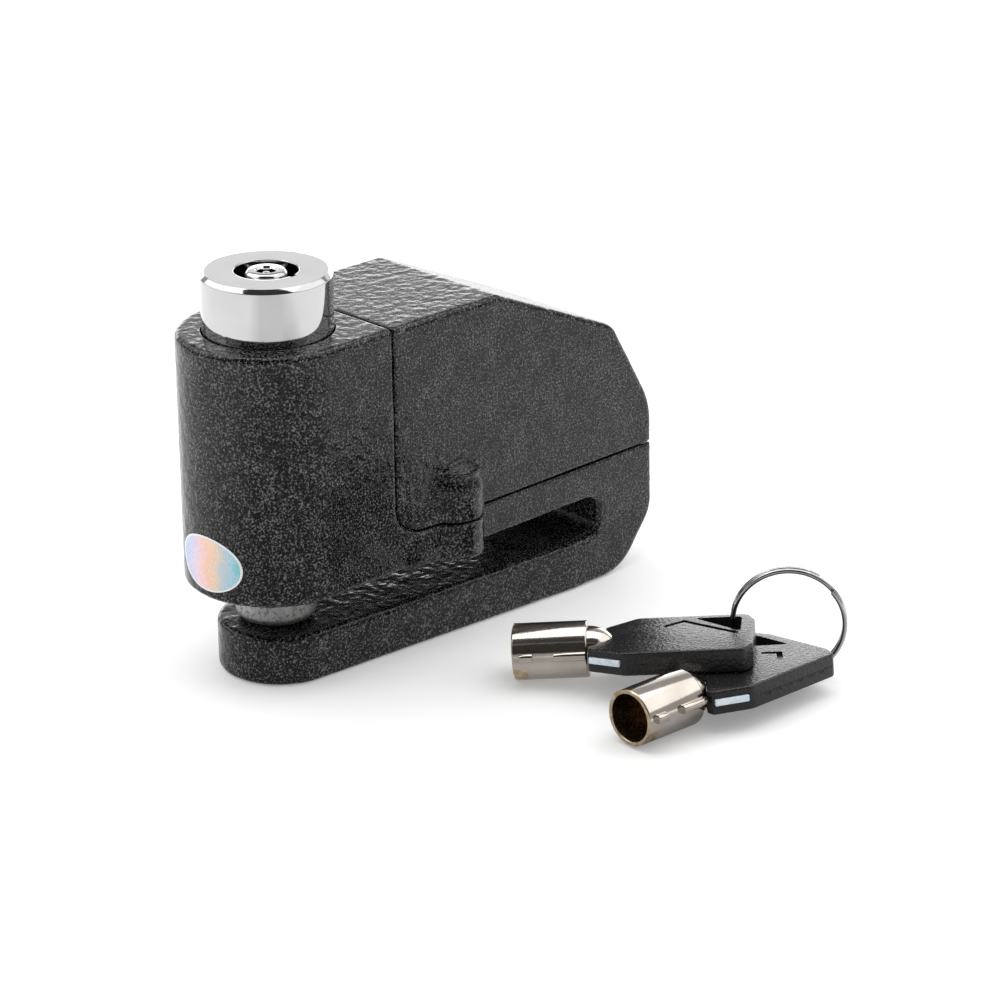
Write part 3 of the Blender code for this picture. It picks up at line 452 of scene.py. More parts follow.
def round_outline(corners, steps=10):
    """Points of a closed outline whose corners (u, v, radius) are rounded where the radius isn't 0."""
    points = []
    count = len(corners)
    for i, (u, v, radius) in enumerate(corners):
        corner = Vector((u, v))
        if radius <= 0:
            points.append(tuple(corner))
            continue
        before = (Vector(corners[i - 1][:2]) - corner).normalized()
        after = (Vector(corners[(i + 1) % count][:2]) - corner).normalized()
        half = before.angle(after) / 2
        reach = radius / math.tan(half)
        centre = corner + (before + after).normalized() * radius / math.sin(half)
        start = corner + before * reach - centre
        turn = start.angle_signed(corner + after * reach - centre)
        for k in range(steps + 1):
            spoke = start.copy()
            spoke.rotate(Matrix.Rotation(-turn * k / steps, 2))
            points.append(tuple(centre + spoke))
    return points


def arc(centre, radius, start, end, steps):
    """Points on an arc, angles in degrees."""
    angles = [math.radians(start + (end - start) * k / steps) for k in range(steps + 1)]
    return [(centre[0] + radius * math.cos(a), centre[1] + radius * math.sin(a)) for a in angles]


# ---- solids

def add(name, mesh, place=None):
    obj = bpy.data.objects.new(name, mesh)
    bpy.context.scene.collection.objects.link(obj)
    if place:
        obj.matrix_world = place
    return obj


def mesh_from(name, build):
    mesh = bpy.data.meshes.new(name)
    bm = bmesh.new()
    build(bm)
    bm.to_mesh(mesh)
    bm.free()
    return mesh


def box(name, low, high, turn=0.0, place=None):
    """A box between two corners, turned about Z on its own centre, in the frame of place."""
    low, high = Vector(low), Vector(high)
    size = Matrix.Diagonal((*(high - low), 1.0))
    mesh = mesh_from(name, lambda bm: bmesh.ops.create_cube(bm, size=1.0, matrix=size))
    local = Matrix.Translation((low + high) / 2) @ Matrix.Rotation(turn, 4, "Z")
    return add(name, mesh, (place or Matrix.Identity(4)) @ local)


def rod(name, radius, start, end, sides=64):
    """A cylinder from start to end."""
    start, end = Vector(start), Vector(end)
    depth = (end - start).length
    mesh = mesh_from(name, lambda bm: bmesh.ops.create_cone(
        bm, cap_ends=True, segments=sides, radius1=radius, radius2=radius, depth=depth))
    turn = (end - start).to_track_quat("Z", "Y").to_matrix().to_4x4()
    return add(name, mesh, Matrix.Translation((start + end) / 2) @ turn)


def ellipsoid(name, centre, radii):
    size = Matrix.Diagonal((*radii, 1.0))
    mesh = mesh_from(name, lambda bm: bmesh.ops.create_uvsphere(
        bm, u_segments=64, v_segments=40, radius=1.0, matrix=size))
    return add(name, mesh, Matrix.Translation(centre))


def curve_to_mesh(curve, name):
    """The curve's mesh with its caps welded and its faces pointing out."""
    holder = bpy.data.objects.new(name + "_outline", curve)
    bpy.context.scene.collection.objects.link(holder)
    depsgraph = bpy.context.evaluated_depsgraph_get()
    mesh = bpy.data.meshes.new_from_object(holder.evaluated_get(depsgraph))
    bpy.data.objects.remove(holder, do_unlink=True)
    bm = bmesh.new()
    bm.from_mesh(mesh)
    bmesh.ops.remove_doubles(bm, verts=bm.verts, dist=0.001 * MM)
    if curve.dimensions == "2D":
        bmesh.ops.dissolve_limit(bm, angle_limit=math.radians(0.5), verts=bm.verts, edges=bm.edges)
    bmesh.ops.recalc_face_normals(bm, faces=bm.faces)
    bm.to_mesh(mesh)
    bm.free()
    mesh.name = name
    mesh.materials.clear()
    return mesh


def flat_solid(name, outline, low, high, upright=False, place=None):
    """An outline made solid: in XY between two heights, or upright in XZ between two Y values."""
    curve = bpy.data.curves.new(name, "CURVE")
    curve.dimensions = "2D"
    curve.fill_mode = "BOTH"
    curve.extrude = (high - low) / 2
    spline = curve.splines.new("POLY")
    spline.points.add(len(outline) - 1)
    for point, (u, v) in zip(spline.points, outline):
        point.co = (u, v, 0, 1)
    spline.use_cyclic_u = True
    middle = (low + high) / 2
    local = Matrix.Translation((0, 0, middle))
    if upright:
        local = Matrix.Translation((0, middle, 0)) @ Matrix.Rotation(math.pi / 2, 4, "X")
    mesh = curve_to_mesh(curve, name)
    mesh.transform(local)
    return add(name, mesh, place)


def turned(name, profile, steps=128, place=None, closed=False):
    """A profile of (radius, height), outer side top to bottom, turned about Z."""
    mesh = bpy.data.meshes.new(name)
    edges = [(i, i + 1) for i in range(len(profile) - 1)]
    if closed:
        edges.append((len(profile) - 1, 0))
    mesh.from_pydata([(r, 0, z) for r, z in profile], edges, [])
    obj = add(name, mesh, place)
    screw = obj.modifiers.new("Turn", "SCREW")
    screw.axis = "Z"
    screw.angle = 2 * math.pi
    screw.steps = steps
    screw.render_steps = steps
    screw.use_merge_vertices = True
    screw.merge_threshold = 0.002 * MM
    return obj


def bevel_rims(obj, width, segments, chosen):
    """Rounds the edges for which chosen(start, end) is true."""
    weights = obj.data.attributes.new("bevel_weight_edge", "FLOAT", "EDGE")
    for edge in obj.data.edges:
        start, end = (obj.data.vertices[i].co for i in edge.vertices)
        weights.data[edge.index].value = 1.0 if chosen(start, end) else 0.0
    bevel = obj.modifiers.new("Rims", "BEVEL")
    bevel.limit_method = "WEIGHT"
    bevel.width = width
    bevel.segments = segments


def bevel_all(obj, width, segments=3, angle=40):
    bevel = obj.modifiers.new("Edges", "BEVEL")
    bevel.limit_method = "ANGLE"
    bevel.angle_limit = math.radians(angle)
    bevel.width = width
    bevel.segments = segments


def settle(obj):
    """Applies every modifier."""
    bpy.context.view_layer.update()
    depsgraph = bpy.context.evaluated_depsgraph_get()
    mesh = bpy.data.meshes.new_from_object(obj.evaluated_get(depsgraph))
    mesh.name = obj.name
    obj.modifiers.clear()
    obj.data = mesh
    return obj


def combine(obj, operation, *others):
    """Cuts, joins or intersects obj with other meshes, in order, and removes them."""
    for other in others:
        step = obj.modifiers.new(other.name, "BOOLEAN")
        step.operation = operation
        step.solver = "EXACT"
        step.object = other
    settle(obj)
    for other in others:
        bpy.data.objects.remove(other, do_unlink=True)
    return obj


def cut(obj, *others):
    return combine(obj, "DIFFERENCE", *others)


def join(obj, *others):
    return combine(obj, "UNION", *others)


def smooth(obj, angle=32):
    obj.data.shade_smooth()
    obj.data.set_sharp_from_angle(angle=math.radians(angle))


def dress(obj, *looks):
    obj.data.materials.clear()
    for look in looks:
        obj.data.materials.append(LOOKS[look])


def paint_faces(obj, index, chosen):
    """Gives one of the piece's materials to the faces whose centre passes chosen(point)."""
    for face in obj.data.polygons:
        if chosen(obj.matrix_world @ face.center):
            face.material_index = index


def finish_piece(obj, body, slot, *nodes):
    """Puts the piece on its body in place of its CAD nodes, its mesh in the lock's frame.

    A piece that has no material yet gets its slot's.
    """
    if not any(obj.data.materials):
        dress(obj, slot)
    obj.data.transform(obj.matrix_world)
    obj.matrix_world = Matrix.Identity(4)
    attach(obj, body)
    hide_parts(*nodes)


# ---- painted casting and cover

def rear_corners():
    """The rounded rear and the sloping top of the body in XZ, from the underside up to the front top."""
    return [
        (70.6 * MM, 0, 9 * MM),
        (BODY_REAR, 10.2 * MM, 7 * MM),
        (77.7 * MM, 31.5 * MM, 14 * MM),
        (67.4 * MM, 48.6 * MM, 6 * MM),
        (38.8 * MM, BODY_TOP, 3 * MM),
    ]


def rounded_block(name, lower):
    """The body's rear block: its side outline with rounded rims."""
    outline = round_outline(lower + rear_corners() + [(0, BODY_TOP, 0)])
    block = flat_solid(name, outline, -BARREL_R, BARREL_R, upright=True)
    limit = 0.01 * MM

    def on_rim(start, end):
        on_front = abs(start.x) < limit and abs(end.x) < limit
        return not on_front and abs(start.y - end.y) <= limit

    bevel_rims(block, RIM_ROUND, 5, on_rim)
    return settle(block)


def side_swellings(tag):
    """Per side: the half-round screw boss with its dome, and the soft fairing in front of it."""
    shapes = []
    dome = [(BOSS_R * math.sin(math.radians(a)), BOSS_SHOULDER + BOSS_R * math.cos(math.radians(a)))
            for a in range(0, 91, 6)]
    root = 12 * MM
    profile = [(0, dome[0][1])] + dome[1:] + [(BOSS_R, root), (0, root)]
    x, y, z = (25 * MM, 12.9 * MM, 21 * MM)
    fairing_radii = (13 * MM, 4.0 * MM, 9.4 * MM)
    for side in (-1, 1):
        boss = turned(f"{tag}_boss_{side}", profile, steps=72,
                      place=Matrix.Translation((BOSS_X, side * BOSS_Y, 0)))
        fairing = ellipsoid(f"{tag}_fairing_{side}", (x, side * y, z), fairing_radii)
        shapes += [boss, fairing]
    return shapes


def cover_outline(offset):
    """The region above the deck and behind the barrel in XZ, its boundary moved out by offset."""
    lean = 0.7 * MM
    low = SEAM_Z - offset
    above = 75 * MM
    behind = 95 * MM
    return round_outline([
        (SEAM_X - offset, above, 0),
        (SEAM_X + lean - offset, low, SEAM_ROUND + offset),
        (behind, low, 0),
        (behind, above, 0),
    ], steps=14)


def boss_holes(tag, low, top, counterbore_top=None):
    """Per side: the screw's clearance hole, and the counterbore for its head."""
    cutters = []
    for side in (-1, 1):
        x, y = BOSS_X, side * SCREW_Y
        if counterbore_top:
            cutters.append(rod(f"{tag}_counterbore_{side}", 3.6 * MM, (x, y, low), (x, y, counterbore_top)))
        cutters.append(rod(f"{tag}_hole_{side}", 2.2 * MM, (x, y, low), (x, y, top)))
    return cutters


def paint_skin(obj):
    """Turns a sharp solid into a painted casting: even fine mesh, softened edges and orange peel."""
    remesh = obj.modifiers.new("Skin", "REMESH")
    remesh.mode = "VOXEL"
    remesh.voxel_size = SKIN_VOXEL
    soften = obj.modifiers.new("Soften", "SMOOTH")
    soften.factor = 0.5
    soften.iterations = 2
    peel = bpy.data.textures.new("orange_peel", "CLOUDS")
    peel.noise_scale = 1.7 * MM
    peel.noise_depth = 1
    ripple = obj.modifiers.new("Ripple", "DISPLACE")
    ripple.texture = peel
    ripple.texture_coords = "LOCAL"
    ripple.strength = RIPPLE
    ripple.mid_level = 1.0
    settle(obj)
    obj.data.shade_smooth()


def make_casting():
    lower = [
        (0, JAW_HIGH, 0),
        (SLOT_END, JAW_HIGH, SLOT_ROUND),
        (SLOT_END, JAW_LOW, SLOT_ROUND),
        (ARM_ROOT_X, JAW_LOW, 0),
        (ARM_ROOT_X, 0, 0),
    ]
    body = rounded_block("painted_casting", lower)
    rim = [(BARREL_R - RIM_ROUND * (1 - math.sin(a)), BODY_TOP - RIM_ROUND * (1 - math.cos(a)))
           for a in (math.radians(15 * k) for k in range(7))]
    chamfer = 0.6 * MM
    barrel = turned("barrel", [(0, BODY_TOP)] + rim + [
        (BARREL_R, JAW_HIGH + chamfer), (BARREL_R - chamfer, JAW_HIGH), (0, JAW_HIGH)], steps=192)
    join(body, barrel, make_arm(), *side_swellings("casting"))
    slot = box("jaw_slot", (-20 * MM, -BESIDE, JAW_LOW), (60 * MM, BESIDE, JAW_HIGH))
    deck_cut = flat_solid("deck_cut", cover_outline(GAP / 2), -BESIDE, BESIDE, upright=True)
    socket = rod("arm_socket", NOSE_R + GAP, (0, 0, 4.5 * MM), (0, 0, 12 * MM))
    cut(body, slot, deck_cut, make_bore(), latch_channel(), socket,
        *boss_holes("casting", 10 * MM, 31.5 * MM, 20 * MM))
    paint_skin(body)
    dress(body, "black_paint", "machined")
    paint_faces(body, 1, is_machined)
    finish_piece(body, "lock_body", "black_paint", "body_casting")


def is_machined(point):
    """Inside the cylinder's bore below its painted mouth, or inside the arm's socket."""
    radius = math.hypot(point.x, point.y)
    in_bore = radius < BORE_R + 1.2 * MM and JAW_HIGH + 0.8 * MM < point.z < BODY_TOP - 2.2 * MM
    in_socket = radius < NOSE_R + 0.6 * MM and 3.5 * MM < point.z < JAW_LOW - 0.6 * MM
    return in_bore or in_socket


def make_arm():
    """The lower arm, tapering from the rear root to a round tip under the pin."""
    slope = math.degrees(math.asin((BARREL_R - ARM_TIP_R) / (ARM_ROOT_X - ARM_TIP_X)))
    tip = arc((ARM_TIP_X, 0), ARM_TIP_R, 90 + slope, 270 - slope, 72)
    overlap = 62 * MM
    outline = [(overlap, BARREL_R - RIM_ROUND), (ARM_ROOT_X, BARREL_R)] + tip + [
        (ARM_ROOT_X, -BARREL_R), (overlap, -BARREL_R + RIM_ROUND)]
    arm = flat_solid("arm", outline, 0, JAW_LOW)
    limit = 0.01 * MM

    def on_rim(start, end):
        return abs(start.z - end.z) < limit and max(start.x, end.x) < ARM_ROOT_X + limit

    bevel_rims(arm, 0.9 * MM, 4, on_rim)
    return settle(arm)


def make_bore():
    """The stepped bore: the cylinder's bore, the seal groove near its mouth, and the pin's guide."""
    top = BODY_TOP + 4 * MM
    mouth_r = HEAD_R + 0.13 * MM
    groove_r = 12.7 * MM
    groove_low, groove_high = 58.9 * MM, 60.3 * MM
    guide_r = SHANK_R + GAP
    low = 14 * MM
    return turned("bore", [
        (0, top), (mouth_r, top), (mouth_r, groove_high), (groove_r, groove_high),
        (groove_r, groove_low), (BORE_R, groove_low), (BORE_R, SEAT_Z), (guide_r, SEAT_Z),
        (guide_r, low), (0, low)])


def latch_channel():
    """The relief in the bore that the latch's end travels in."""
    return box("latch_channel", (-13.0 * MM, -LATCH_HALF, LATCH_LOW - GAP),
               (-9 * MM, LATCH_HALF, LATCH_HIGH + STROKE + GAP))


def make_cover():
    lower = [(0, 10 * MM, 0), (60 * MM, 10 * MM, 0), (60 * MM, 0, 0)]
    cover = rounded_block("painted_cover", lower)
    join(cover, *side_swellings("cover"))
    region = flat_solid("cover_region", cover_outline(-GAP / 2), -BESIDE, BESIDE, upright=True)
    combine(cover, "INTERSECT", region)
    wall = COVER_WALL
    inside = round_outline([
        (10 * MM, BODY_TOP - wall, 0),
        (10 * MM, 20 * MM, 0),
        (76.0 * MM, 20 * MM, 0),
        (75.4 * MM, 30.6 * MM, 12 * MM),
        (65.8 * MM, 46.6 * MM, 5 * MM),
        (38.3 * MM, BODY_TOP - wall, 3 * MM),
    ])
    half = BARREL_R - wall
    cut(cover, flat_solid("cover_hollow", inside, -half, half, upright=True))
    pillar_y = SCREW_Y - 1 * MM
    pillars = [rod(f"pillar_{side}", 4.6 * MM, (BOSS_X, side * pillar_y, SEAM_Z + GAP / 2),
                   (BOSS_X, side * pillar_y, 32.2 * MM)) for side in (-1, 1)]
    join(cover, *pillars)
    cut(cover, *boss_holes("cover", 20 * MM, 30.5 * MM))
    paint_skin(cover)
    finish_piece(cover, "lock_body", "black_paint", "alarm_cover")


def make_screws():
    """Socket screws whose heads show from below."""
    tip_r, core_r, thread_r, head_r = 1.6 * MM, 1.72 * MM, 2.0 * MM, 3.3 * MM
    head_low, head_high, tip = 17.2 * MM, 19.7 * MM, 30.0 * MM
    edge = 0.15 * MM
    pitch = 0.7 * MM
    thread = []
    for k in range(13):
        z = 29.2 * MM - k * pitch
        thread += [(thread_r, z), (core_r, z - pitch / 2)]
    profile = [(0, tip), (tip_r, tip)] + thread + [
        (thread_r, head_high), (head_r, head_high), (head_r, head_low + 3 * edge),
        (head_r - 0.12 * MM, head_low + edge), (head_r - 3 * edge, head_low), (tip_r + edge, head_low),
        (tip_r, head_low + edge), (0, head_low + edge)]
    for side, word in ((-1, "left"), (1, "right")):
        x, y = BOSS_X, side * SCREW_Y
        screw = turned(f"cover_screw_{word}_fine", profile, steps=64, place=Matrix.Translation((x, y, 0)))
        cut(screw, rod("socket", 1.5 * MM, (x, y, 16 * MM), (x, y, 18.6 * MM), sides=6))
        smooth(screw)
        finish_piece(screw, "lock_body", "zinc_screw", f"cover_screw_{word}")


def make_sticker():
    """The oval foil label wrapped on the front of the barrel."""
    low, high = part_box("hologram_sticker")
    centre_z = (low.z + high.z) / 2
    half_height = (high.z - low.z) / 2
    half_angle = math.radians(27.0)
    facing = math.radians(182.6)
    inner = BARREL_R + 0.02 * MM
    rings, sides = 14, 120
    mesh = bpy.data.meshes.new("foil_sticker")
    bm = bmesh.new()
    chart = bm.loops.layers.uv.new("oval")

    def vertex(scale, t):
        angle = facing + half_angle * scale * math.cos(t)
        height = centre_z + half_height * scale * math.sin(t)
        return bm.verts.new((inner * math.cos(angle), inner * math.sin(angle), height))

    turns = [2 * math.pi * k / sides for k in range(sides)]
    centre = vertex(0, 0)
    loops = [[vertex((ring + 1) / rings, t) for t in turns] for ring in range(rings)]
    for k in range(sides):
        bm.faces.new((centre, loops[0][k], loops[0][(k + 1) % sides]))
    for near, away in zip(loops, loops[1:]):
        for k in range(sides):
            after = (k + 1) % sides
            bm.faces.new((near[k], away[k], away[after], near[after]))
    for face in bm.faces:
        for corner in face.loops:
            x, y, z = corner.vert.co
            turn = (math.atan2(y, x) - facing + math.pi) % (2 * math.pi) - math.pi
            corner[chart].uv = (turn / half_angle, (z - centre_z) / half_height)
    bm.to_mesh(mesh)
    bm.free()
    sticker = add("foil_sticker", mesh)
    skin = sticker.modifiers.new("Thickness", "SOLIDIFY")
    skin.thickness = 0.10 * MM
    skin.offset = 1.0
    settle(sticker)
    smooth(sticker, 50)
    finish_piece(sticker, "lock_body", "foil", "hologram_sticker")


# ---- cylinder, plug and pin

def make_sleeve():
    """The chrome head and sleeve, with its chamfer, keyway, index notch, groove and latch window."""
    chamfer = 0.75 * MM
    opening = SHANK_R - 2.0 * MM
    low = SLEEVE_LOW.z
    foot = 0.6 * MM
    guard = 0.45 * MM
    profile = round_outline([
        (KEYWAY_R, HEAD_TOP, 0.22 * MM), (KEYWAY_R + guard, HEAD_TOP, 0),
        (HEAD_R - chamfer - guard, HEAD_TOP, 0), (HEAD_R - chamfer, HEAD_TOP, 0.16 * MM),
        (HEAD_R, HEAD_TOP - chamfer, 0.2 * MM), (HEAD_R, HEAD_TOP - chamfer - guard, 0),
        (HEAD_R, low + foot, 0.2 * MM), (HEAD_R - foot, low, 0.2 * MM),
        (opening, low, 0), (opening, CHAMBER_LOW, 0), (CHAMBER_R, CHAMBER_LOW, 0),
        (CHAMBER_R, KEYWAY_FLOOR + GAP, 0), (KEYWAY_R, KEYWAY_FLOOR + GAP, 0)], steps=5)
    sleeve = turned("chrome_cylinder", profile, steps=192, closed=True)
    groove = 1.8 * MM
    dowel_z = 55.0 * MM
    dowel_groove = box("dowel_groove", (8.65 * MM, -groove, dowel_z - STROKE - groove),
                       (12 * MM, groove, dowel_z + groove))
    window = box("latch_window", (-12 * MM, -LATCH_HALF, LATCH_LOW - GAP),
                 (-6.5 * MM, LATCH_HALF, LATCH_HIGH + GAP))
    half = 0.65 * MM
    notch = box("index_notch", (4.5 * MM, -half, 66.6 * MM), (5.95 * MM, half, HEAD_TOP + 1 * MM),
                place=Matrix.Rotation(math.radians(-80), 4, "Z"))
    cut(sleeve, dowel_groove, window, switch_ramp(), notch)
    smooth(sleeve)
    finish_piece(sleeve, "cylinder", "chrome", "lock_cylinder")


def switch_ramp():
    """The sloping flat that pushes the switch plunger back as the cylinder rises."""
    half = 2.0 * MM
    low_z = 39.0 * MM
    plunger_z = 53.5 * MM
    high_z = plunger_z + half
    slope = 1.7 * MM / STROKE

    def floor(z):
        return 9.6 * MM - slope * (z - (plunger_z - STROKE))

    outline = [(floor(low_z), low_z), (floor(high_z), high_z), (13 * MM, high_z), (13 * MM, low_z)]
    return flat_solid("switch_ramp", outline, -5.5 * MM - half, -5.5 * MM + half, upright=True)


def make_plug():
    """The turning plug: centre post with its socket and small centre stud, tumbler disc and tail."""
    disc_top = KEYWAY_FLOOR - 0.1 * MM
    disc_low = 57.0 * MM
    disc_r = CHAMBER_R - GAP
    tail_r = 2.4 * MM
    low = PLUG_LOW.z
    plug = turned("chrome_plug", [
        (0, POST_TOP), (POST_R - 0.50 * MM, POST_TOP), (POST_R - 0.42 * MM, POST_TOP - 0.04 * MM),
        (POST_R - 0.04 * MM, POST_TOP - 0.42 * MM), (POST_R, POST_TOP - 0.50 * MM), (POST_R, disc_top),
        (disc_r, disc_top), (disc_r, disc_low), (tail_r, disc_low), (tail_r, low), (0, low)], steps=96)
    socket_r = 1.6 * MM
    socket_low = 67 * MM
    flare = 0.35 * MM
    above = POST_TOP + 1 * MM
    socket = turned("post_socket", [
        (0, above), (socket_r + flare, above), (socket_r + flare, POST_TOP),
        (socket_r, POST_TOP - flare), (socket_r, socket_low), (0, socket_low)], steps=64)
    holes = []
    ring_r, hole_r = 4.4 * MM, 0.85 * MM
    for k in range(7):
        angle = 2 * math.pi * k / 7
        x, y = ring_r * math.cos(angle), ring_r * math.sin(angle)
        holes.append(rod(f"tumbler_hole_{k}", hole_r, (x, y, 55 * MM), (x, y, 64 * MM), sides=32))
    cut(plug, socket, *holes)
    stud_r, stud_low = 0.85 * MM, 66 * MM
    stud = turned("centre_stud", [
        (0, POST_TOP - flare), (0.55 * MM, POST_TOP - 0.45 * MM), (stud_r, POST_TOP - 0.75 * MM),
        (stud_r, stud_low), (0, stud_low)], steps=40)
    join(plug, stud)
    smooth(plug)
    finish_piece(plug, "plug", "chrome", "lock_plug")


def make_pin():
    """The locking pin: nose, rough plated shank, spring flange and stem."""
    edge = 1.6 * MM
    stem_r = SHANK_R - 2.0 * MM - GAP
    flange_top = SLEEVE_LOW.z - GAP
    top = PIN_HIGH.z
    nose_low = PIN_LOW.z
    lower_round = arc((SHANK_R - edge, SHANK_LOW + edge), edge, 0, -90, 10)
    rings = 70
    shank_length = PIN_HEAD_LOW - SHANK_LOW - edge
    shank = [(SHANK_R, PIN_HEAD_LOW - shank_length * k / rings) for k in range(rings)]
    pin = turned("cast_locking_pin", [
        (0, top), (stem_r - 0.4 * MM, top), (stem_r, top - 0.4 * MM), (stem_r, flange_top),
        (PIN_HEAD_R, flange_top), (PIN_HEAD_R, PIN_HEAD_LOW)] + shank + lower_round + [
        (NOSE_R, SHANK_LOW), (NOSE_R, nose_low + 0.8 * MM), (NOSE_R - 0.25 * MM, nose_low + 0.25 * MM),
        (NOSE_R - 0.8 * MM, nose_low), (0, nose_low)], steps=160)
    settle(pin)
    cast = bpy.data.textures.new("cast_lumps", "CLOUDS")
    cast.noise_scale = 0.9 * MM
    cast.noise_depth = 3
    zone = pin.vertex_groups.new(name="shank")
    inside = [v.index for v in pin.data.vertices if SHANK_LOW + GAP < v.co.z < PIN_HEAD_LOW - GAP]
    zone.add(inside, 1.0, "REPLACE")
    lumps = pin.modifiers.new("Lumps", "DISPLACE")
    lumps.texture = cast
    lumps.texture_coords = "LOCAL"
    lumps.strength = 0.12 * MM
    lumps.mid_level = 0.75
    lumps.vertex_group = "shank"
    settle(pin)
    smooth(pin, 38)
    finish_piece(pin, "cylinder", "cast_metal", "locking_pin")


# ---- keys and ring

def key_frame(pose):
    """The key's frame at its tube's mouth, X along the key towards its head, Z out of its upper face."""
    turn = (Matrix.Rotation(math.radians(pose["yaw"]), 4, "Z")
            @ Matrix.Rotation(math.radians(-pose["pitch"]), 4, "Y")
            @ Matrix.Rotation(math.radians(pose["roll"]), 4, "X"))
    return Matrix.Translation(Vector(pose["mouth"])) @ turn


def make_key(name, pose, groove):
    place = key_frame(pose)
    make_key_tube(name, place)
    head = make_key_head(name, place, groove)
    slope = math.atan2(KEY_HALF - KEY_NOSE_HALF, KEY_FLARE - KEY_NOSE)
    width = KEY_NOSE_HALF + (STRIP_MIDDLE - KEY_NOSE) * math.tan(slope)
    centre = Vector((STRIP_MIDDLE, -width, STRIP_RISE))
    size = Vector(STRIP_HALVES)
    grow = Vector((0.15 * MM,) * 3)
    recess = box(name + "_recess", centre - size - grow, centre + size + grow, -slope, place)
    cut(head, recess)
    smooth(head, 30)
    finish_piece(head, name, "key_plastic", name + "_head")
    strip = box(name + "_strip", centre - size, centre + size, -slope, place)
    bevel_all(strip, 0.12 * MM, 3)
    settle(strip)
    smooth(strip)
    finish_piece(strip, name, "key_inlay", name + "_inlay")


def stem_profile(grow):
    """The stem's outline from its tip to the tube's back as (radius, length), larger by grow."""
    reach = STEM_END - KEY_TUBE + grow
    angles = [math.radians(5 * k) for k in range(19)]
    return [((STEM_R + grow) * math.sin(a), KEY_TUBE + reach * math.cos(a)) for a in angles]


def make_key_tube(name, place):
    """The nickel tube with its open mouth, ribs, drive notch, closed back and bullet-shaped stem."""
    shoulder = arc((KEY_TUBE_R - 0.35 * MM, KEY_TUBE - 0.35 * MM), 0.35 * MM, 90, 0, 5)
    mouth = arc((KEY_TUBE_R - 0.28 * MM, 0.28 * MM), 0.28 * MM, 0, -90, 5)
    lip = arc((KEY_BORE_R + 0.2 * MM, 0.2 * MM), 0.2 * MM, -90, -180, 4)
    profile = stem_profile(0.0) + shoulder + mouth + lip + [
        (KEY_BORE_R, KEY_TUBE - 1.4 * MM), (0, KEY_TUBE - 1.4 * MM)]
    along = place @ Matrix.Rotation(math.pi / 2, 4, "Y")
    tube = turned(name + "_nickel_tube", profile, steps=128, place=along)
    settle(tube)
    outer = -KEY_TUBE_R - RIB_RISE
    inner = -KEY_TUBE_R + 0.5 * MM
    for index, (start, end) in enumerate([(1.4 * MM, 3.6 * MM), (7.2 * MM, 12.6 * MM)]):
        rib = box(f"rib_{index}", (start, outer, RIB_LIFT - RIB_HALF), (end, inner, RIB_LIFT + RIB_HALF),
                  place=place)
        bevel_rims(rib, 0.62 * MM, 8, lambda a, b: max(a.y, b.y) < 0 and a.z * b.z > 0 and a.x * b.x < 0)
        settle(rib)
        bevel_all(rib, 0.07 * MM, 2)
        join(tube, settle(rib))
    notch_angle = math.radians(-137)
    notch_place = place @ Matrix.Rotation(notch_angle, 4, "X")
    notch = box("drive_notch", (-1 * MM, KEY_TUBE_R - 0.34 * MM, -1.8 * MM),
                (2.5 * MM, KEY_TUBE_R + 1 * MM, 1.8 * MM), place=notch_place)
    cut(tube, notch)
    smooth(tube)
    dress(tube, "key_nickel", "key_brass", "key_bore")
    back = place.inverted()
    for face in tube.data.polygons:
        local = back @ (tube.matrix_world @ face.center)
        radius = math.hypot(local.y, local.z)
        face.material_index = 0
        # bore faces take the darker brass, which holds painted shade of the tube's inside
        if local.x < KEY_TUBE - 1.3 * MM and radius < KEY_BORE_R + 0.05 * MM:
            face.material_index = 2
        elif local.x < 0.12 * MM or (local.x < 2.45 * MM and radius < KEY_TUBE_R - 0.03 * MM):
            face.material_index = 1
    finish_piece(tube, name, "key_nickel", name + "_tube")


def key_outline():
    """The head's long hexagon with rounded corners, notched at the nose for the stem."""
    return [
        (15.3 * MM, 4.8 * MM, 0.6 * MM), (16.8 * MM, -0.8 * MM, 0.4 * MM),
        (KEY_NOSE, -4.9 * MM, 0.55 * MM), (KEY_NOSE, -KEY_NOSE_HALF, 0.55 * MM),
        (KEY_FLARE, -KEY_HALF, 3 * MM),
        (KEY_LENGTH - 1.2 * MM, -KEY_HALF, 1.5 * MM), (KEY_LENGTH, -KEY_HALF + 3 * MM, 2.5 * MM),
        (KEY_LENGTH, KEY_HALF - 3 * MM, 2.5 * MM), (KEY_LENGTH - 1.2 * MM, KEY_HALF, 1.5 * MM),
        (20.6 * MM, KEY_HALF, 2 * MM)]


def strip_outline(start, end, half):
    """A thin rectangle along a line, as outline points."""
    along = (Vector(end) - Vector(start)).normalized()
    side = Vector((-along.y, along.x)) * half
    ends = (Vector(start) - along * half, Vector(end) + along * half)
    return [tuple(p) for p in (ends[0] - side, ends[1] - side, ends[1] + side, ends[0] + side)]


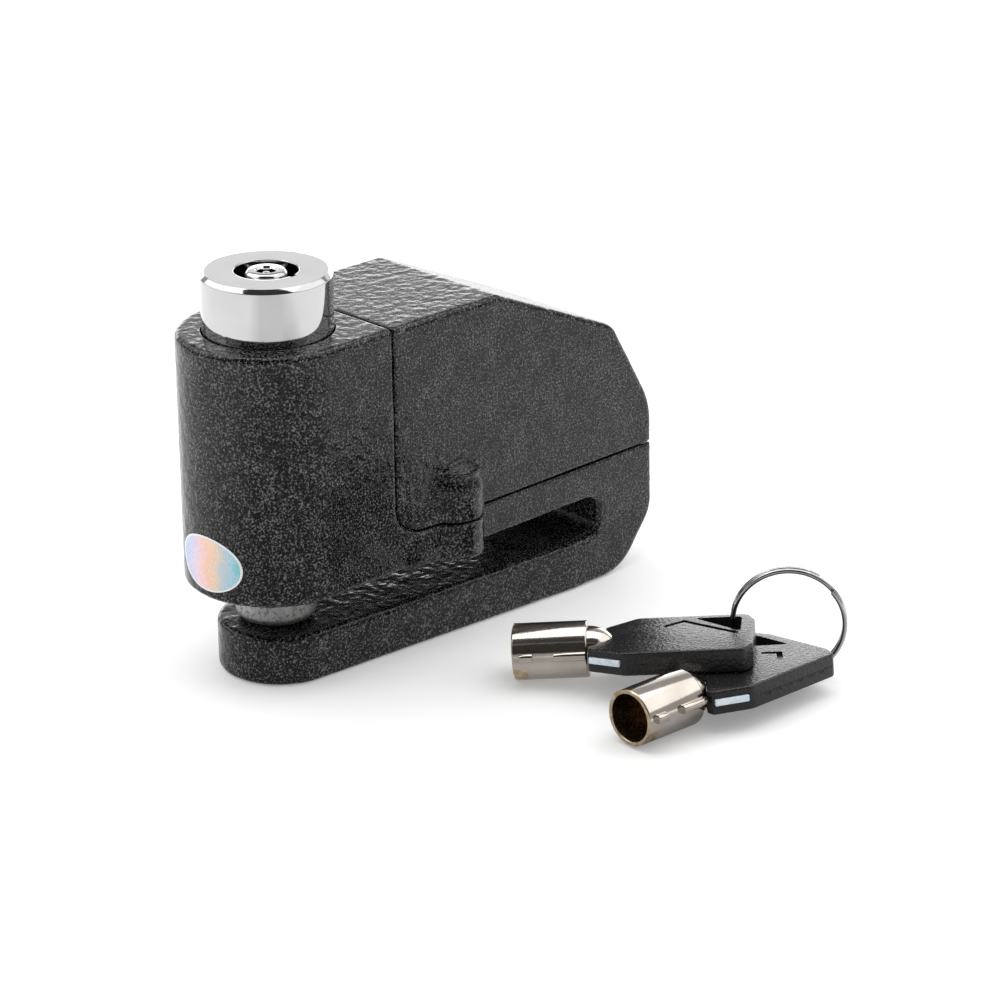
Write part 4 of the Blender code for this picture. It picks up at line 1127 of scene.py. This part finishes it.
def make_key_head(name, place, groove):
    """The moulded head: rounded edges, a parting line, ring hole, stem channel and a chevron groove."""
    half = KEY_THICK / 2
    outline = round_outline(key_outline(), steps=8)
    head = flat_solid(name + "_moulded_head", outline, -half, half, place=place)
    bevel_all(head, 0.5 * MM, 5, 50)
    settle(head)
    shrunk = [(u, v - math.copysign(0.08 * MM, v), r) for u, v, r in key_outline()]
    belt = 0.07 * MM
    ring = flat_solid("parting", [(21 * MM, 12 * MM), (21 * MM, -12 * MM), (42 * MM, -12 * MM),
                                  (42 * MM, 12 * MM)], -belt, belt, place=place)
    cut(ring, flat_solid("core", round_outline(shrunk, steps=8), -1 * MM, 1 * MM, place=place))
    opening = round_outline([
        (30.4 * MM, 7.9 * MM, 0.35 * MM), (38.6 * MM, 0, 0.35 * MM), (38.6 * MM, 7.9 * MM, 0.9 * MM)],
        steps=6)
    hole = flat_solid(name + "_ring_hole", opening, -2 * half, 2 * half, place=place)
    channel = turned(name + "_channel", stem_profile(0.15 * MM) + [
        (STEM_R + 0.15 * MM, KEY_TUBE - 1 * MM), (0, KEY_TUBE - 1 * MM)], steps=96,
        place=place @ Matrix.Rotation(math.pi / 2, 4, "Y"))
    cut(head, ring, hole, channel)
    depth = 0.55 * MM
    for index, (start, stop) in enumerate(zip(groove, groove[1:])):
        line = strip_outline(start, stop, 0.50 * MM)
        for face in (1, -1):
            low, high = sorted((face * (half - depth), face * (half + 1 * MM)))
            cut(head, flat_solid(f"groove_{index}_{face}", line, low, high, place=place))
    for k in range(6):
        start = 22.4 * MM + 2.6 * MM * k
        for side in (1, -1):
            low, high = sorted((side * (KEY_HALF - 0.09 * MM), side * (KEY_HALF + 1 * MM)))
            end = start + 1.2 * MM
            dash = box(f"dash_{k}_{side}", (start, low, -0.42 * MM), (end, high, -0.16 * MM), place=place)
            cut(head, dash)
    return head


def make_ring():
    """The split ring: two turns of wire side by side, their ends offset so that they overlap."""
    turns = 1.95
    per_turn = 96
    count = int(turns * per_turn) + 1
    width = Vector((math.cos(math.radians(RING_YAW)), math.sin(math.radians(RING_YAW)), 0))
    rise = Vector((0, 0, 1))
    side = width.cross(rise)
    start = math.radians(60)
    curve = bpy.data.curves.new("split_ring_wire", "CURVE")
    curve.dimensions = "3D"
    curve.bevel_depth = RING_WIRE_R
    curve.bevel_resolution = 5
    curve.use_fill_caps = True
    spline = curve.splines.new("POLY")
    spline.points.add(count - 1)
    for k, point in enumerate(spline.points):
        share = k / (count - 1)
        angle = start + 2 * math.pi * turns * share
        place = (Vector(RING_CENTRE) + (width * math.cos(angle) + rise * math.sin(angle)) * RING_R
                 + side * RING_PITCH * turns * (share - 0.5))
        point.co = (*place, 1)
    ring = add("split_ring_wire", curve_to_mesh(curve, "split_ring_wire"))
    smooth(ring, 50)
    finish_piece(ring, "ring", "ring_steel", "split_ring")


# ---- CAD nodes that stay

KEPT = {
    "rubber": ["cover_gasket", "cylinder_seal"],
    "zinc_screw": ["travel_dowel", "board_screw_1", "board_screw_2", "board_screw_3", "latch_cam",
                   "latch_dog"],
    "spring_steel": ["return_spring"],
    "tray_plastic": ["module_tray"],
    "board_green": ["circuit_board"],
    "component_black": ["siren", "controller_chip", "lock_switch"],
    "sensor_metal": ["vibration_sensor"],
    "cell_steel": [f"button_cell_{k}" for k in range(1, 7)],
    "brass": ["cell_contact_front", "cell_contact_rear", "tumbler_block"]
             + [f"key_pin_{k}" for k in range(1, 8)],
    "plunger_white": ["switch_plunger"],
}


def dress_kept_nodes():
    for look, nodes in KEPT.items():
        for name in nodes:
            node = frame["nodes"][name]
            for slot in node.material_slots:
                slot.material = LOOKS[look]


# ---- floor, lights and camera

CAMERA_AT = Vector((-0.3038, -0.3603, 0.2250))
LOOKED_AT = Vector((0.0399, -0.0142, 0.0226))
AHEAD = Vector((LOOKED_AT.x - CAMERA_AT.x, LOOKED_AT.y - CAMERA_AT.y, 0)).normalized()
RIGHT = Vector((AHEAD.y, -AHEAD.x, 0))


def level_sheet(name, height, half):
    """A square sheet under the object, its local X running ahead of the camera, with a new look."""
    mesh = mesh_from(name, lambda bm: bmesh.ops.create_grid(bm, x_segments=1, y_segments=1, size=half))
    level = Matrix.Translation((LOOKED_AT.x, LOOKED_AT.y, height))
    sheet = add(name, mesh, level @ Matrix.Rotation(math.atan2(AHEAD.y, AHEAD.x), 4, "Z"))
    look = Look(name + "_paper")
    paper = look.tone(look.noise(0.4, detail=2.0), (0.86, 0.86, 0.86), (0.88, 0.88, 0.88))
    look.roughness(look.noise(0.05), 0.55, 0.65)
    look.set("Specular IOR Level", 0.2)
    look.set("Emission Strength", 1.0)
    mesh.materials.append(look.material)
    return sheet, look, paper


def make_floor():
    """A pale floor, faintly lit from below."""
    look, paper = level_sheet("floor", -0.04 * MM, 4.0)[1:]
    look.colour(paper)
    look.set("Emission Color", (0.22, 0.22, 0.22, 1))


def make_mirrored_floor():
    """The floor as reflections see it, with painted shade: a darker patch in front of the object stands for
    the dark camera side of the room.
    """
    sheet, look, paper = level_sheet("mirrored_floor", -0.02 * MM, 2.0)
    # painted shade: darker ahead of the camera and fading out beside the object, in both colour and glow
    ahead = look.span(look.along("X"), 0.0, 1.0, -0.30, 0.0)
    band = look.ramp(ahead, [(0.40, (0.76, 0.76, 0.76)), (0.60, (0.36, 0.36, 0.36)),
                             (0.85, (0.40, 0.40, 0.40)), (0.97, (1.0, 1.0, 1.0))])
    beside = look.span(look.math("ABSOLUTE", look.along("Y")), 0.0, 1.0, 0.06, 0.13)
    shade = look.mix(beside, band, (1.0, 1.0, 1.0))
    look.colour(look.mix(1.0, paper, shade, "MULTIPLY"))
    glow = look.mix(1.0, shade, (0.22, 0.22, 0.22), "MULTIPLY")
    look.link(glow, look.shader.inputs["Emission Color"])
    sheet.visible_camera = False
    sheet.visible_diffuse = False
    sheet.visible_shadow = False


def dark_card(name, behind, up, size, look):
    """A dark card on the camera's side of the object and facing it, seen in reflections only: a sheet of
    painted shade.
    """
    mesh = mesh_from(name, lambda bm: bmesh.ops.create_grid(bm, x_segments=1, y_segments=1, size=0.5))
    centre = LOOKED_AT - AHEAD * behind + Vector((0, 0, up))
    facing = (LOOKED_AT - centre).to_track_quat("Z", "Y").to_matrix().to_4x4()
    card = add(name, mesh, Matrix.Translation(centre) @ facing @ Matrix.Diagonal((*size, 1.0, 1.0)))
    card.visible_diffuse = False
    card.visible_shadow = False
    mesh.materials.append(look.material)


def make_dark_cards():
    """The card that the chrome's chamfer mirrors, and the dark end of the room behind the camera: dark
    sheets of painted shade, seen only in reflections.
    """
    # painted shade: near-black colour on sheets that light nothing and shade nothing
    look = Look("black_cloth")
    look.colour(look.tone(look.noise(0.02), (0.010, 0.010, 0.010), (0.016, 0.016, 0.016)))
    look.roughness(look.noise(0.005), 0.8, 0.9)
    dark_card("flag", 0.26, 0.55, (0.62, 0.27), look)
    dark_card("dark_wall", 1.11, 0.67, (2.4, 1.0), look)


def softbox(name, offset, size, radiance):
    """An area light at (right, ahead, up) metres from the object's middle, turned to it."""
    light = bpy.data.lights.new(name, "AREA")
    light.shape = "RECTANGLE"
    light.size, light.size_y = size
    light.energy = radiance * math.pi * size[0] * size[1]
    obj = bpy.data.objects.new(name, light)
    bpy.context.scene.collection.objects.link(obj)
    right, ahead, up = offset
    obj.location = LOOKED_AT + RIGHT * right + AHEAD * ahead + Vector((0, 0, up))
    obj.rotation_euler = (obj.location - LOOKED_AT).to_track_quat("Z", "Y").to_euler()


def make_lights():
    softbox("top", (0.0, 0.13, 1.15), (1.4, 1.1), 1.7)
    softbox("left", (-0.92, 0.20, 0.82), (1.3, 1.0), 1.4)
    softbox("right", (0.92, 0.20, 0.82), (1.3, 0.9), 1.1)
    softbox("back", (0.0, 1.6, 0.70), (2.6, 0.34), 0.66)
    softbox("back_low", (0.0, 1.7, 0.25), (2.6, 0.50), 2.7)
    world = bpy.data.worlds.new("studio")
    world.use_nodes = True
    world.node_tree.nodes["Background"].inputs["Color"].default_value = (0.42, 0.42, 0.42, 1)
    bpy.context.scene.world = world


def make_camera():
    lens = bpy.data.cameras.new("camera")
    lens.lens = 108.3
    lens.sensor_width = 36
    lens.clip_start = 0.01
    camera = bpy.data.objects.new("camera", lens)
    bpy.context.scene.collection.objects.link(camera)
    camera.location = CAMERA_AT
    camera.rotation_euler = (LOOKED_AT - CAMERA_AT).to_track_quat("-Z", "Y").to_euler()
    bpy.context.scene.camera = camera
    bpy.context.scene.view_settings.view_transform = "Standard"


# ---- the scene

for default in [o for o in bpy.data.objects if o.name in ("Cube", "Light", "Camera")]:
    bpy.data.objects.remove(default, do_unlink=True)

LOOKS = make_looks()
GROOVES = {
    "key_1": [(25.9 * MM, 4.3 * MM), (28.7 * MM, 6.5 * MM), (37.6 * MM, -0.5 * MM)],
    "key_2": [(32.3 * MM, -3.6 * MM), (34.3 * MM, -1.6 * MM), (32.6 * MM, 0.3 * MM)],
}
dress_kept_nodes()
make_casting()
make_cover()
make_screws()
make_sticker()
make_sleeve()
make_plug()
make_pin()
for key_name, key_pose in KEYS.items():
    make_key(key_name, key_pose, GROOVES[key_name])
make_ring()
make_floor()
make_mirrored_floor()
make_dark_cards()
make_lights()
make_camera()
